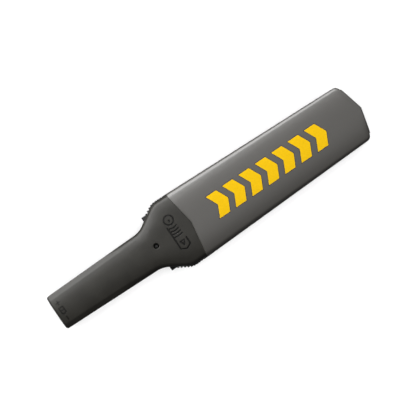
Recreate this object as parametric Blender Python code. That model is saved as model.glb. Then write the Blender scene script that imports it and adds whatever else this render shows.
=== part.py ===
"""Hand-held metal detector wand, lying on its front with the scan face up.

+X runs from the handle's butt to the paddle's tip, +Y is the power switch's side, and +Z is
out of the plain back face. The origin is the centre of the footprint, on the surface the
wand lies on. Sizes are in metres.
"""

import math

import bmesh
import bpy
from mathutils import Vector

MM = 0.001

# Overall sizes
LENGTH = 420 * MM
THICKNESS = 41.3 * MM
BUTT_HALF_WIDTH = 21.6 * MM
HANDLE_ROOT_HALF_WIDTH = 24.2 * MM
PADDLE_ROOT_HALF_WIDTH = 43.7 * MM
PADDLE_TIP_HALF_WIDTH = 35.6 * MM

# Outline, as seen from above; places along X count from the middle of the length
HANDLE_ROOT_X = -80 * MM
PADDLE_ROOT_X = -49.7 * MM
SHOULDER_STEP = 1.6 * MM
TIP_SLOPE = 0.25
BUTT_RADIUS = 3 * MM
HANDLE_ROOT_RADIUS = 28 * MM
PADDLE_ROOT_RADIUS = 18 * MM
TIP_RADIUS = 8 * MM
JOINT_VERTEX_X = -23.7 * MM
JOINT_SLOPE = 0.16

# Heights along the body
PARTING_Z = 24 * MM
BUTT_TOP_DROP = 1.5 * MM
NECK_TOP_X = -40 * MM
TIP_TOP_DROP = 2.5 * MM
BUTT_BOTTOM_Z = 10 * MM
HANDLE_ROOT_BOTTOM_Z = 8.5 * MM
PADDLE_BOTTOM_X = -15 * MM
PADDLE_BOTTOM_Z = 13 * MM
TIP_BOTTOM_Z = 17 * MM
HANDLE_CROWN = 3.6 * MM
NECK_CROWN = 4.6 * MM
PADDLE_CROWN = 3.8 * MM
TIP_CROWN = 2.6 * MM
HANDLE_CROWN_X = -110 * MM
NECK_CROWN_X = -60 * MM
PADDLE_CROWN_X = -20 * MM
BACK_EDGE_RADIUS = 6 * MM
FRONT_EDGE_RADIUS = 5 * MM
END_ROUNDING = 1.5 * MM

# Walls and clearances
WALL = 2.4 * MM
SEAM_GAP = 0.3 * MM
FIT_GAP = 0.3 * MM

# Console on the front face
CONSOLE_REAR_X = -90 * MM
CONSOLE_FRONT_X = 22 * MM
CONSOLE_RAMP = 10 * MM
CONSOLE_INSET = 5 * MM
CONSOLE_LIP_Z = 16 * MM
CONSOLE_CAVITY_Z = 18 * MM

# Battery and its door
DOOR_LENGTH = 66 * MM
BATTERY_LENGTH = 46 * MM
BATTERY_WIDTH = 26 * MM
BATTERY_HEIGHT = 17 * MM
BATTERY_Z = 18.5 * MM
BATTERY_BUTT_GAP = 8 * MM
TERMINAL_RADIUS = 3.2 * MM
TERMINAL_HEIGHT = 2.4 * MM
TERMINAL_SPACING = 12.7 * MM
SNAP_THICKNESS = 3 * MM
CRADLE_GAP = 6 * MM
CRADLE_SIDE_GAP = 4 * MM
TONGUE_ROOT = 8 * MM
TONGUE_REACH = 6 * MM
TONGUE_HALF_WIDTH = 8 * MM
TONGUE_THICKNESS = 2.2 * MM

# Screws
NECK_SCREW_X = -72.2 * MM
NECK_SCREW_HEAD_RADIUS = 2.8 * MM
NECK_SCREW_RADIUS = 1.5 * MM
NECK_SCREW_HEAD_Z = 34 * MM
NECK_BOSS_RADIUS = 5.2 * MM
BOSS_RADIUS = 3.2 * MM
SCREW_RADIUS = 1.1 * MM
SCREW_HEAD_RADIUS = 2.2 * MM
SCREW_HEAD_HEIGHT = 1.5 * MM

# Side controls
CONTROL_LOW_Z = 14.6 * MM
CONTROL_HIGH_Z = 22.5 * MM
SLIDER_END_X = -69 * MM
SLIDER_FACE_Y = 36.3 * MM
SLIDER_TRAVEL = 6 * MM
BUTTON_END_X = -73.5 * MM
BUTTON_FRONT_X = -64.5 * MM
BUTTON_FACE_Y = 33.5 * MM
BUTTON_TRAVEL = 1.5 * MM
CONTROL_DEPTH = 3 * MM
FLANGE = 1.2 * MM
FLANGE_MARGIN = 2 * MM

# Main board and its parts
BOARD_Z = 17 * MM
BOARD_THICKNESS = 1.6 * MM
BOARD_REAR_X = -62 * MM
BOARD_FRONT_X = 6 * MM
BOARD_MARGIN = 7 * MM
BOARD_SCREW_REAR_X = -43 * MM
BOARD_SCREW_FRONT_X = -3 * MM
TRIMMER_X = -54 * MM
TRIMMER_RADIUS = 2.6 * MM
TRIMMER_HOLE_RADIUS = 1.7 * MM
JACK_X = 6 * MM
JACK_LIFT = 0.6 * MM
JACK_RADIUS = 3 * MM
JACK_BORE_RADIUS = 1.8 * MM
JACK_HALF_BODY = 3.6 * MM

# Speaker, lamps and motor
SPEAKER_X = -22 * MM
SPEAKER_RADIUS = 18 * MM
SPEAKER_LIFT = 0.5 * MM
SPEAKER_HEIGHT = 5 * MM
MAGNET_RADIUS = 9 * MM
MAGNET_HEIGHT = 4.6 * MM
CONE_TRAVEL = 0.4 * MM
GRILLE_SLOTS = 7
GRILLE_PITCH = 4 * MM
GRILLE_SLOT_WIDTH = 1.8 * MM
LENS_X = 10 * MM
LENS_PITCH = 9 * MM
LENS_RADIUS = 2.5 * MM
MOTOR_X = -112 * MM
MOTOR_LENGTH = 12 * MM
MOTOR_RADIUS = 3.5 * MM
MOTOR_Z = 18.5 * MM
WEIGHT_LENGTH = 4 * MM
WEIGHT_RADIUS = 3.2 * MM

# Search coils
FORMER_Z = 26 * MM
FORMER_THICKNESS = 2 * MM
FORMER_REAR_X = 24 * MM
FORMER_TIP_GAP = 20 * MM
FORMER_MARGIN = 4.5 * MM
COIL_MARGIN = 14 * MM
COIL_BAND = 5.5 * MM
TRANSMIT_HEIGHT = 5 * MM
RECEIVE_HEIGHT = 4 * MM
COIL_END_GAP = 10 * MM
RECEIVE_SPACING = 10 * MM
FORMER_SCREW_MARGIN = 8 * MM
FORMER_SCREW_INSET = 8 * MM

BUTT_X = -LENGTH / 2
TIP_X = LENGTH / 2
FORMER_FRONT_X = TIP_X - FORMER_TIP_GAP
SPEAKER_Z = WALL + SPEAKER_LIFT
JACK_Z = WALL + JACK_LIFT + JACK_HALF_BODY
CHARCOAL = (0.048, 0.046, 0.042)
BLACK = (0.012, 0.012, 0.012)
GREY = (0.11, 0.105, 0.1)


def clear_scene():
    """Remove what the scene holds."""
    for item in list(bpy.data.objects):
        bpy.data.objects.remove(item, do_unlink=True)


def finish(name, colour, roughness, metallic=0.0):
    """A Principled material for one piece."""
    made = bpy.data.materials.new(name + "_finish")
    made.use_nodes = True
    shader = made.node_tree.nodes["Principled BSDF"]
    shader.inputs["Base Color"].default_value = (*colour, 1)
    shader.inputs["Roughness"].default_value = roughness
    shader.inputs["Metallic"].default_value = metallic
    made.diffuse_color = (*colour, 1)
    return made


def object_from(name, shape, look=None, smooth=True):
    """An object holding a bmesh, with a (colour, roughness, metallic) look."""
    bmesh.ops.recalc_face_normals(shape, faces=shape.faces)
    mesh = bpy.data.meshes.new(name)
    shape.to_mesh(mesh)
    shape.free()
    if smooth:
        mesh.shade_smooth()
        mesh.set_sharp_from_angle(angle=math.radians(35))
    made = bpy.data.objects.new(name, mesh)
    bpy.context.scene.collection.objects.link(made)
    if look:
        mesh.materials.append(finish(name, *look))
    return made


def as_cutter(tool):
    """Hide a cutting shape from the finished model."""
    tool.hide_render = True
    tool.display_type = "WIRE"
    return tool


def combine(target, tool, operation):
    """Add one Boolean step to a piece."""
    step = target.modifiers.new(tool.name, "BOOLEAN")
    step.object = as_cutter(tool)
    step.operation = operation
    step.solver = "EXACT"


def cut(target, *tools):
    """Take shapes away from a piece."""
    for tool in tools:
        combine(target, tool, "DIFFERENCE")


def join(target, *tools):
    """Add shapes to a piece."""
    for tool in tools:
        combine(target, tool, "UNION")


def keep(target, tool):
    """Keep what a piece shares with a shape."""
    combine(target, tool, "INTERSECT")


def block(name, low, high, look=None, round_off=0.0):
    """A box between two corners, with its edges rounded off if asked."""
    low = Vector(low)
    high = Vector(high)
    shape = bmesh.new()
    bmesh.ops.create_cube(shape, size=1)
    bmesh.ops.scale(shape, verts=shape.verts, vec=high - low)
    if round_off:
        bmesh.ops.bevel(
            shape, geom=shape.edges[:], offset=round_off, segments=2, profile=0.5, affect="EDGES"
        )
    made = object_from(name, shape, look)
    made.location = (low + high) / 2
    return made


def rod(name, start, end, radius, look=None, sides=24):
    """A round bar between two points."""
    start = Vector(start)
    along = Vector(end) - start
    shape = bmesh.new()
    bmesh.ops.create_cone(
        shape,
        cap_ends=True,
        segments=sides,
        radius1=radius,
        radius2=radius,
        depth=along.length,
    )
    made = object_from(name, shape, look)
    made.location = start + along / 2
    made.rotation_euler = along.to_track_quat("Z", "Y").to_euler()
    return made


def prism(name, outline, low_z, high_z, look=None):
    """A plan outline raised between two heights."""
    shape = bmesh.new()
    face = shape.faces.new([shape.verts.new((x, y, low_z)) for x, y in outline])
    raised = bmesh.ops.extrude_face_region(shape, geom=[face])
    top = [item for item in raised["geom"] if isinstance(item, bmesh.types.BMVert)]
    bmesh.ops.translate(shape, verts=top, vec=(0, 0, high_z - low_z))
    return object_from(name, shape, look)


def ring_prism(name, outer, inner, low_z, high_z, look):
    """A band between two plan outlines that have the same number of points."""
    shape = bmesh.new()
    loops = []
    for outline, z in ((outer, low_z), (outer, high_z), (inner, high_z), (inner, low_z)):
        loops.append([shape.verts.new((x, y, z)) for x, y in outline])
    for near, far in zip(loops, loops[1:] + loops[:1]):
        for i, corner in enumerate(near):
            following = (i + 1) % len(near)
            shape.faces.new((corner, near[following], far[following], far[i]))
    return object_from(name, shape, look)


def turned(name, profile, origin, look, sides=32):
    """A shape turned about +Z through its origin, from a closed (radius, height) profile."""
    shape = bmesh.new()
    corners = [shape.verts.new((radius, 0, z)) for radius, z in profile]
    edges = [shape.edges.new(pair) for pair in zip(corners, corners[1:] + corners[:1])]
    bmesh.ops.spin(
        shape,
        geom=corners + edges,
        axis=(0, 0, 1),
        cent=(0, 0, 0),
        angle=2 * math.pi,
        steps=sides,
        use_merge=True,
    )
    bmesh.ops.remove_doubles(shape, verts=shape.verts, dist=0.01 * MM)
    made = object_from(name, shape, look)
    made.location = origin
    return made


def interpolate(x, points):
    """Straight-line interpolation through (x, value) points."""
    if x <= points[0][0]:
        return points[0][1]
    for (x0, v0), (x1, v1) in zip(points, points[1:]):
        if x <= x1:
            return v0 + (v1 - v0) * (x - x0) / (x1 - x0)
    return points[-1][1]


def fillet(before, corner, after, radius, steps):
    """Points of the arc that rounds a corner of a plan outline."""
    before, corner, after = Vector(before), Vector(corner), Vector(after)
    back = (before - corner).normalized()
    ahead = (after - corner).normalized()
    half = back.angle(ahead) / 2
    reach = radius / math.tan(half)
    centre = corner + (back + ahead).normalized() * (radius / math.sin(half))
    first = corner + back * reach - centre
    last = corner + ahead * reach - centre
    points = []
    for i in range(steps + 1):
        point = first.slerp(last, i / steps).normalized() * radius
        points.append(tuple(centre + point))
    return points


def rounded(corners, radius, steps=4):
    """A closed plan outline with every corner rounded."""
    outline = []
    for i, corner in enumerate(corners):
        following = corners[(i + 1) % len(corners)]
        outline += fillet(corners[i - 1], corner, following, radius, steps)
    return outline


def side_outline(step):
    """(x, half width) points from the butt to the tip's corner; step widens the shoulders."""
    root = (HANDLE_ROOT_X, HANDLE_ROOT_HALF_WIDTH)
    narrowing = SHOULDER_STEP - step
    shoulder = (PADDLE_ROOT_X, PADDLE_ROOT_HALF_WIDTH - narrowing)
    butt = (BUTT_X, BUTT_HALF_WIDTH)
    slope = (PADDLE_TIP_HALF_WIDTH - PADDLE_ROOT_HALF_WIDTH) / (TIP_X - PADDLE_ROOT_X)
    tip_half = PADDLE_TIP_HALF_WIDTH - narrowing
    corner_x = TIP_X - TIP_SLOPE * tip_half
    corner = (corner_x, tip_half - slope * (TIP_X - corner_x))
    points = fillet((BUTT_X, 0), butt, root, BUTT_RADIUS, 3)
    points += fillet(butt, root, shoulder, HANDLE_ROOT_RADIUS, 4)
    points += fillet(root, shoulder, corner, PADDLE_ROOT_RADIUS, 4)
    return points + fillet(shoulder, corner, (TIP_X, 0), TIP_RADIUS, 5)


def half_width(x, step=SHOULDER_STEP):
    """Half the body's width at a place along it."""
    return interpolate(x, side_outline(step))


def top_height(x):
    """The back face's height on the centre line."""
    butt = (BUTT_X, THICKNESS - BUTT_TOP_DROP)
    tip = (TIP_X, THICKNESS - TIP_TOP_DROP)
    return interpolate(x, [butt, (NECK_TOP_X, THICKNESS), tip])


def bottom_height(x):
    """The front face's height on the centre line, without the console."""
    return interpolate(
        x,
        [
            (BUTT_X, BUTT_BOTTOM_Z),
            (HANDLE_ROOT_X, HANDLE_ROOT_BOTTOM_Z),
            (PADDLE_BOTTOM_X, PADDLE_BOTTOM_Z),
            (TIP_X, TIP_BOTTOM_Z),
        ],
    )


def arc(y, z, radius, start, end, steps=3):
    """(y, z) points of an arc round (y, z), from one angle to another."""
    points = []
    for i in range(steps + 1):
        angle = start + (end - start) * i / steps
        points.append((y + radius * math.cos(angle), z + radius * math.sin(angle)))
    return points


def crown(x, share):
    """How far the back face lies below its middle line, at a share of the half width."""
    barrel = interpolate(x, [(HANDLE_CROWN_X, HANDLE_CROWN), (NECK_CROWN_X, 0)])
    neck = (NECK_CROWN_X, NECK_CROWN)
    tip = (TIP_X, TIP_CROWN)
    bow = interpolate(x, [(HANDLE_CROWN_X, 0), neck, (PADDLE_CROWN_X, PADDLE_CROWN), tip])
    return barrel * share**2 + bow * share**3


def section(x, half, top, bottom, shrink):
    """(y, z) points of half a cross-section, from the top's middle to the bottom's middle."""
    back = max(BACK_EDGE_RADIUS - shrink, 1 * MM)
    front = max(FRONT_EDGE_RADIUS - shrink, 1 * MM)
    inner = half - back
    fall = crown(x, (inner + 0.5 * MM) / half) - crown(x, (inner - 0.5 * MM) / half)
    lean = math.atan2(fall, 1 * MM)
    shoulder = inner + back * math.sin(lean)
    points = []
    for i in range(6):
        y = shoulder * i / 6
        points.append((y, top - crown(x, y / half)))
    centre_z = top - crown(x, shoulder / half) - back * math.cos(lean)
    points += arc(inner, centre_z, back, math.pi / 2 - lean, 0)
    points += arc(half - front, bottom + front, front, 0, -math.pi / 2)
    return points + [(0, bottom)]


def loft(name, rings):
    """A closed body from rings of half sections; each ring gives x at its middle and edge."""
    shape = bmesh.new()
    loops = []
    for x_middle, x_edge, half, points in rings:
        right = []
        left = []
        for y, z in points:
            x = x_middle + (x_edge - x_middle) * y / half
            right.append(shape.verts.new((x, y, z)))
            left.append(right[-1] if y == 0 else shape.verts.new((x, -y, z)))
        loops.append(right + left[-2:0:-1])
    for near, far in zip(loops, loops[1:]):
        for i, corner in enumerate(near):
            following = (i + 1) % len(near)
            shape.faces.new((corner, near[following], far[following], far[i]))
    for loop in (loops[0], loops[-1]):
        middle = len(loop) // 2
        shape.faces.new(loop[: middle + 1])
        shape.faces.new(loop[middle:] + loop[:1])
    return object_from(name, shape)


def body_ring(x_middle, x_edge, half, shrink, end_shrink=0.0):
    """One ring of the body, drawn in by a wall and, at the ends, by the end rounding."""
    inward = shrink + end_shrink
    top = top_height(x_middle) - inward
    bottom = bottom_height(x_middle) + inward
    return (x_middle, x_edge, half - inward, section(x_middle, half - inward, top, bottom, shrink))


def body(name, step, shrink=0.0):
    """The whole wand's outer form, or its cavity when shrink is the wall."""
    outline = side_outline(step)
    rings = []
    last = len(outline) - 1
    arc_start = last - 5
    for i, (x, half) in enumerate(outline):
        bent = max(0, i - arc_start) / 5
        x_edge = x + shrink * (1 if i < 4 else 0)
        x_middle = x_edge
        if i >= arc_start:
            vertex_x = TIP_X - END_ROUNDING
            start_x = x + TIP_SLOPE * half * 0.8
            x_middle = start_x + (vertex_x - start_x) * bent - shrink
            x_edge = x - END_ROUNDING * bent - shrink
        if half > shrink + 2 * MM and not (i == 0 and shrink):
            rings.append(body_ring(x_middle, x_edge, half, shrink))
    x_middle, x_edge, half, _ = rings[-1]
    tip = END_ROUNDING
    rings.append(body_ring(x_middle + tip, x_edge + tip, half + shrink, shrink, tip / 2))
    return loft(name, rings)


def console(name, shrink):
    """The raised console under the front face, or its cavity."""
    flat_rear = CONSOLE_REAR_X + CONSOLE_RAMP
    flat_front = CONSOLE_FRONT_X - CONSOLE_RAMP
    top = CONSOLE_CAVITY_Z if shrink else CONSOLE_LIP_Z
    rings = []
    for x, rise in (
        (CONSOLE_REAR_X + shrink, CONSOLE_LIP_Z / 2),
        (flat_rear + shrink / 2, 0),
        (HANDLE_ROOT_X + 12 * MM, 0),
        (PADDLE_ROOT_X, 0),
        (flat_front - shrink / 2, 0),
        (CONSOLE_FRONT_X - shrink, CONSOLE_LIP_Z / 2),
    ):
        half = half_width(x, 0) - CONSOLE_INSET - shrink
        radius = 3 * MM - shrink / 2
        low = rise + shrink
        points = [(0, top), (half, top)]
        points += arc(half - radius, low + radius, radius, 0, -math.pi / 2)
        rings.append((x, x, half, points + [(0, low)]))
    return loft(name, rings)


def joint_cutter(name, side):
    """A V-ended slab that keeps one side of the joint between neck and paddle."""
    reach = LENGTH
    vertex = JOINT_VERTEX_X + side * SEAM_GAP / 2
    edge = vertex - JOINT_SLOPE * reach / 2
    far = vertex + side * reach
    outline = [(vertex, 0), (edge, reach / 2), (far, reach / 2), (far, -reach / 2), (edge, -reach / 2)]
    return prism(name, outline, PARTING_Z + SEAM_GAP / 2, 2 * THICKNESS)


def half_space(name, low_x, high_x, low_z, high_z):
    """A wide slab between two stations and two heights."""
    return block(name, (low_x, -LENGTH, low_z), (high_x, LENGTH, high_z))


def make_rear_shell():
    """Charcoal back half of the handle and neck."""
    shell = body("rear_shell", 0)
    shell.data.materials.append(finish("rear_shell", CHARCOAL, 0.6))
    cut(shell, body("rear_shell_cavity", 0, WALL))
    keep(shell, joint_cutter("rear_shell_reach", -1))
    boss_top = top_height(NECK_SCREW_X) - WALL / 2
    boss_low = PARTING_Z + SEAM_GAP / 2 + 1 * MM
    seat = NECK_SCREW_HEAD_Z - FIT_GAP
    at = (NECK_SCREW_X, 0)
    join(shell, rod("rear_boss", (*at, boss_low), (*at, boss_top), NECK_BOSS_RADIUS))
    head_hole = NECK_SCREW_HEAD_RADIUS + 0.4 * MM
    shank_hole = NECK_SCREW_RADIUS + FIT_GAP
    cut(
        shell,
        rod("rear_head_hole", (*at, seat), (*at, THICKNESS + WALL), head_hole),
        rod("rear_shank_hole", (*at, boss_low - WALL), (*at, seat + WALL), shank_hole),
    )


def make_paddle_cover():
    """Grey back half of the paddle."""
    cover = body("paddle_cover", SHOULDER_STEP)
    cover.data.materials.append(finish("paddle_cover", GREY, 0.45))
    cut(cover, body("paddle_cover_cavity", SHOULDER_STEP, WALL))
    keep(cover, joint_cutter("paddle_cover_reach", 1))


def front_bosses():
    """Posts in the front shell: (x, y, top) of each, with the radius of its pilot hole."""
    posts = []
    for x, y in board_screw_places():
        posts.append((x, y, BOARD_Z - FIT_GAP))
    for x, y in former_screw_places():
        posts.append((x, y, FORMER_Z - FIT_GAP))
    return posts


def board_screw_places():
    """Places of the main board's screws."""
    places = []
    for x in (BOARD_SCREW_REAR_X, BOARD_SCREW_FRONT_X):
        y = half_width(x, 0) - BOARD_MARGIN - 2 * BOSS_RADIUS
        places += [(x, y), (x, -y)]
    return places


def former_screw_places():
    """Places of the coil former's screws."""
    places = []
    for x in (FORMER_REAR_X + FORMER_SCREW_INSET, FORMER_FRONT_X - FORMER_SCREW_INSET):
        y = half_width(x) - FORMER_SCREW_MARGIN
        places += [(x, y), (x, -y)]
    return places


def shoulder_direction():
    """Unit vector along the straight part of the +Y shoulder."""
    rise = PADDLE_ROOT_HALF_WIDTH - HANDLE_ROOT_HALF_WIDTH
    return Vector((PADDLE_ROOT_X - HANDLE_ROOT_X, rise, 0)).normalized()


def shoulder_edge(x):
    """Half width on the straight line of the front shell's shoulder."""
    along = shoulder_direction()
    return HANDLE_ROOT_HALF_WIDTH + (x - HANDLE_ROOT_X) * along.y / along.x


def slider_base():
    """The slider's foot on the shoulder: its two ends, in plan."""
    along = shoulder_direction()
    merge_x = HANDLE_ROOT_X + (SLIDER_FACE_Y - HANDLE_ROOT_HALF_WIDTH) * along.x / along.y
    near = Vector((SLIDER_END_X, shoulder_edge(SLIDER_END_X), 0))
    return near, Vector((merge_x, SLIDER_FACE_Y, 0))


def slider_plan(near, far, depth, extra=0.0):
    """A plan strip under the shoulder between two points, to a depth below its face."""
    along = shoulder_direction()
    inward = Vector((along.y, -along.x, 0)) * depth
    start = near - along * extra
    end = far + along * extra
    return [start, end, end + inward, start + inward]


def plan(points):
    """The x and y of some points."""
    return [(point.x, point.y) for point in points]


def slider_slot():
    """The slot that the power slider runs in."""
    along = shoulder_direction()
    outward = Vector((-along.y, along.x, 0)) * WALL
    near, far = slider_base()
    far = far + along * SLIDER_TRAVEL
    outline = slider_plan(near + outward, far + outward, 3 * WALL, FIT_GAP)
    low = CONTROL_LOW_Z - FIT_GAP
    return prism("slider_slot", plan(outline), low, CONTROL_HIGH_Z + FIT_GAP)


def button_slot():
    """The slot that the push button moves in."""
    low = (BUTTON_END_X - FIT_GAP, -PADDLE_ROOT_HALF_WIDTH, CONTROL_LOW_Z - FIT_GAP)
    inner = HANDLE_ROOT_HALF_WIDTH - 2 * WALL
    high = (BUTTON_FRONT_X + FIT_GAP, -inner, CONTROL_HIGH_Z + FIT_GAP)
    return block("button_slot", low, high)


def grille_slots():
    """Slots in front of the speaker, shorter towards the sides."""
    slots = []
    for i in range(GRILLE_SLOTS):
        offset = (i - (GRILLE_SLOTS - 1) / 2) * GRILLE_PITCH
        half = math.sqrt((SPEAKER_RADIUS - 3 * MM) ** 2 - offset**2)
        x = SPEAKER_X + offset
        low = (x - GRILLE_SLOT_WIDTH / 2, -half, -WALL)
        high = (x + GRILLE_SLOT_WIDTH / 2, half, 2 * WALL)
        slots.append(block(f"grille_slot_{i + 1}", low, high))
    return slots


def lens_places():
    """Places of the three indicator lenses."""
    return [(LENS_X, (i - 1) * LENS_PITCH) for i in range(3)]


def make_front_shell():
    """Black front half of the whole wand, with the console, bosses and slots."""
    shell = body("front_shell", SHOULDER_STEP)
    shell.data.materials.append(finish("front_shell", BLACK, 0.55))
    join(shell, console("console", 0))
    cut(shell, body("front_shell_cavity", SHOULDER_STEP, WALL), console("console_cavity", WALL))
    roof = PARTING_Z - SEAM_GAP / 2
    door_end = BUTT_X + DOOR_LENGTH + SEAM_GAP
    keep(shell, half_space("front_shell_reach", door_end, LENGTH, -THICKNESS, roof))
    for i, (x, y, top) in enumerate(front_bosses()):
        low = WALL / 2 if x < CONSOLE_FRONT_X else bottom_height(x) + WALL / 2
        join(shell, rod(f"front_boss_{i + 1}", (x, y, low), (x, y, top), BOSS_RADIUS, sides=12))
        pilot = SCREW_RADIUS + FIT_GAP
        cut(shell, rod(f"pilot_{i + 1}", (x, y, top - 7 * MM), (x, y, top + WALL), pilot, sides=12))
    at = (NECK_SCREW_X, 0)
    join(shell, rod("neck_boss", (*at, WALL / 2), (*at, roof), NECK_BOSS_RADIUS))
    cut(shell, rod("neck_pilot", (*at, 10 * MM), (*at, THICKNESS), NECK_SCREW_RADIUS + FIT_GAP))
    cut(shell, slider_slot(), button_slot(), *grille_slots())
    for i, (x, y) in enumerate(lens_places()):
        hole = LENS_RADIUS + FIT_GAP
        cut(shell, rod(f"lens_hole_{i + 1}", (x, y, -WALL), (x, y, 2 * WALL), hole, sides=20))
    port = (TRIMMER_X, 0)
    cut(shell, rod("trimmer_port", (*port, -WALL), (*port, 2 * WALL), TRIMMER_HOLE_RADIUS, sides=16))
    wall_y = half_width(JACK_X, 0) - CONSOLE_INSET
    start = (JACK_X, wall_y - 3 * WALL, JACK_Z)
    cut(shell, rod("jack_hole", start, (JACK_X, wall_y + WALL, JACK_Z), JACK_RADIUS + FIT_GAP))


def make_battery_door():
    """Front half of the handle's end, which slides off towards the butt."""
    door = body("battery_door", SHOULDER_STEP)
    door.data.materials.append(finish("battery_door", BLACK, 0.55))
    cut(door, body("battery_door_cavity", SHOULDER_STEP, WALL))
    roof = PARTING_Z - SEAM_GAP / 2
    end = BUTT_X + DOOR_LENGTH
    keep(door, half_space("battery_door_reach", -LENGTH, end, -THICKNESS, roof))
    floor = bottom_height(end) + WALL
    high = floor + TONGUE_THICKNESS
    tongue_low = (end - TONGUE_ROOT, -TONGUE_HALF_WIDTH, floor - 0.5 * MM)
    join(door, block("tongue_root", tongue_low, (end, TONGUE_HALF_WIDTH, high)))
    tip_low = (end - 1 * MM, -TONGUE_HALF_WIDTH, floor + FIT_GAP)
    tip_high = (end + TONGUE_REACH, TONGUE_HALF_WIDTH, high)
    join(door, block("tongue_tip", tip_low, tip_high))


def battery_ends():
    """The battery's two ends along X."""
    rear = BUTT_X + BATTERY_BUTT_GAP
    return rear, rear + BATTERY_LENGTH


def make_battery():
    """The battery, its two terminals, the snap connector and the cradle."""
    rear, front = battery_ends()
    half = BATTERY_WIDTH / 2
    top = BATTERY_Z + BATTERY_HEIGHT
    steel = ((0.55, 0.55, 0.57), 0.3, 0.9)
    low = (rear, -half, BATTERY_Z)
    block("battery", low, (front, half, top), ((0.02, 0.03, 0.05), 0.35, 0.3), 1.2 * MM)
    middle = BATTERY_Z + BATTERY_HEIGHT / 2
    for name, side in (("battery_terminal_plus", 1), ("battery_terminal_minus", -1)):
        y = side * TERMINAL_SPACING / 2
        start = (front + FIT_GAP / 2, y, middle)
        end = (front + FIT_GAP / 2 + TERMINAL_HEIGHT, y, middle)
        rod(name, start, end, TERMINAL_RADIUS, steel, sides=20)
    snap_rear = front + TERMINAL_HEIGHT + FIT_GAP
    block(
        "battery_snap",
        (snap_rear, -half + 1 * MM, BATTERY_Z + 2 * MM),
        (snap_rear + SNAP_THICKNESS, half - 1 * MM, top - 2 * MM),
        ((0.015, 0.015, 0.015), 0.7),
        0.6 * MM,
    )
    rear_wall = snap_rear + SNAP_THICKNESS + CRADLE_GAP
    cradle_low = bottom_height(rear_wall) + WALL + 3 * MM
    cradle_half = half_width(rear_wall) - WALL - CRADLE_SIDE_GAP
    drop = crown(rear_wall, cradle_half / half_width(rear_wall))
    cradle_top = top_height(rear_wall) - WALL - drop - 1.2 * MM
    cradle = block(
        "battery_cradle",
        (rear_wall, -cradle_half, cradle_low),
        (rear_wall + 2 * MM, cradle_half, cradle_top),
        ((0.02, 0.02, 0.02), 0.6),
    )
    window_low = (rear_wall - WALL, -6 * MM, cradle_low + 6 * MM)
    window_high = (rear_wall + 2 * WALL, 6 * MM, cradle_low + 12 * MM)
    cut(cradle, block("cradle_window", window_low, window_high))


def screw(name, x, y, seat, length, head=SCREW_HEAD_RADIUS, radius=SCREW_RADIUS):
    """A pan-head screw standing on +Z, with a cross recess."""
    steel = ((0.35, 0.35, 0.36), 0.35, 0.9)
    height = SCREW_HEAD_HEIGHT
    profile = [(0, -length), (radius * 0.6, -length), (radius, 1 * MM - length), (radius, 0)]
    profile += [(head, 0), (head, height * 0.6), (head * 0.7, height), (0, height)]
    made = turned(name, profile, (x, y, seat), steel, sides=16)
    arm = head * 0.62
    slot = 0.45 * MM
    deep = seat + height * 0.45
    tall = seat + 2 * height
    across = block(name + "_slot_x", (x - arm, y - slot, deep), (x + arm, y + slot, tall))
    along = block(name + "_slot_y", (x - slot, y - arm, deep), (x + slot, y + arm, tall))
    cut(made, across, along)


def make_screws():
    """Every fastener."""
    neck_length = NECK_SCREW_HEAD_Z - 12 * MM
    screw(
        "neck_screw", NECK_SCREW_X, 0, NECK_SCREW_HEAD_Z, neck_length,
        NECK_SCREW_HEAD_RADIUS, NECK_SCREW_RADIUS,
    )
    for i, (x, y) in enumerate(board_screw_places()):
        screw(f"board_screw_{i + 1}", x, y, BOARD_Z + BOARD_THICKNESS + FIT_GAP, 7 * MM)
    for i, (x, y) in enumerate(former_screw_places()):
        screw(f"former_screw_{i + 1}", x, y, FORMER_Z + FORMER_THICKNESS + FIT_GAP, 7 * MM)


def make_power_slider():
    """The three-position power switch: its knob, its lever and the switch body."""
    along = shoulder_direction()
    near, far = slider_base()
    inner = CONTROL_DEPTH + FIT_GAP
    foot = slider_plan(near, far, inner)
    outline = plan([Vector((SLIDER_END_X, SLIDER_FACE_Y, 0)), *foot[1:], foot[0]])
    knob = prism("power_slider", outline, CONTROL_LOW_Z, CONTROL_HIGH_Z, (BLACK, 0.6))
    inward = Vector((along.y, -along.x, 0))
    behind = inward * (WALL + FIT_GAP)
    skirt = slider_plan(near + behind, far + behind, FLANGE, FLANGE_MARGIN)
    top = PARTING_Z - 2 * FIT_GAP
    join(knob, prism("slider_skirt", plan(skirt), CONTROL_LOW_Z - 0.8 * MM, top))
    middle = (near + far) / 2 + inward * (WALL + FLANGE + 2 * FIT_GAP)
    lever_size = along * 1.5 * MM
    lever = slider_plan(middle - lever_size, middle + lever_size, 2.5 * MM)
    low_z = BOARD_Z + BOARD_THICKNESS + 1 * MM
    prism("switch_lever", plan(lever), low_z, low_z + 2.5 * MM, ((0.75, 0.74, 0.7), 0.5))
    seat = middle + inward * (2.5 * MM + FIT_GAP)
    switch = slider_plan(seat - along * 3 * MM, seat + along * 9 * MM, 5 * MM)
    base = BOARD_Z + BOARD_THICKNESS + FIT_GAP
    prism("slide_switch", plan(switch), base, base + 4.5 * MM, ((0.45, 0.45, 0.46), 0.35, 0.8))


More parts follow.
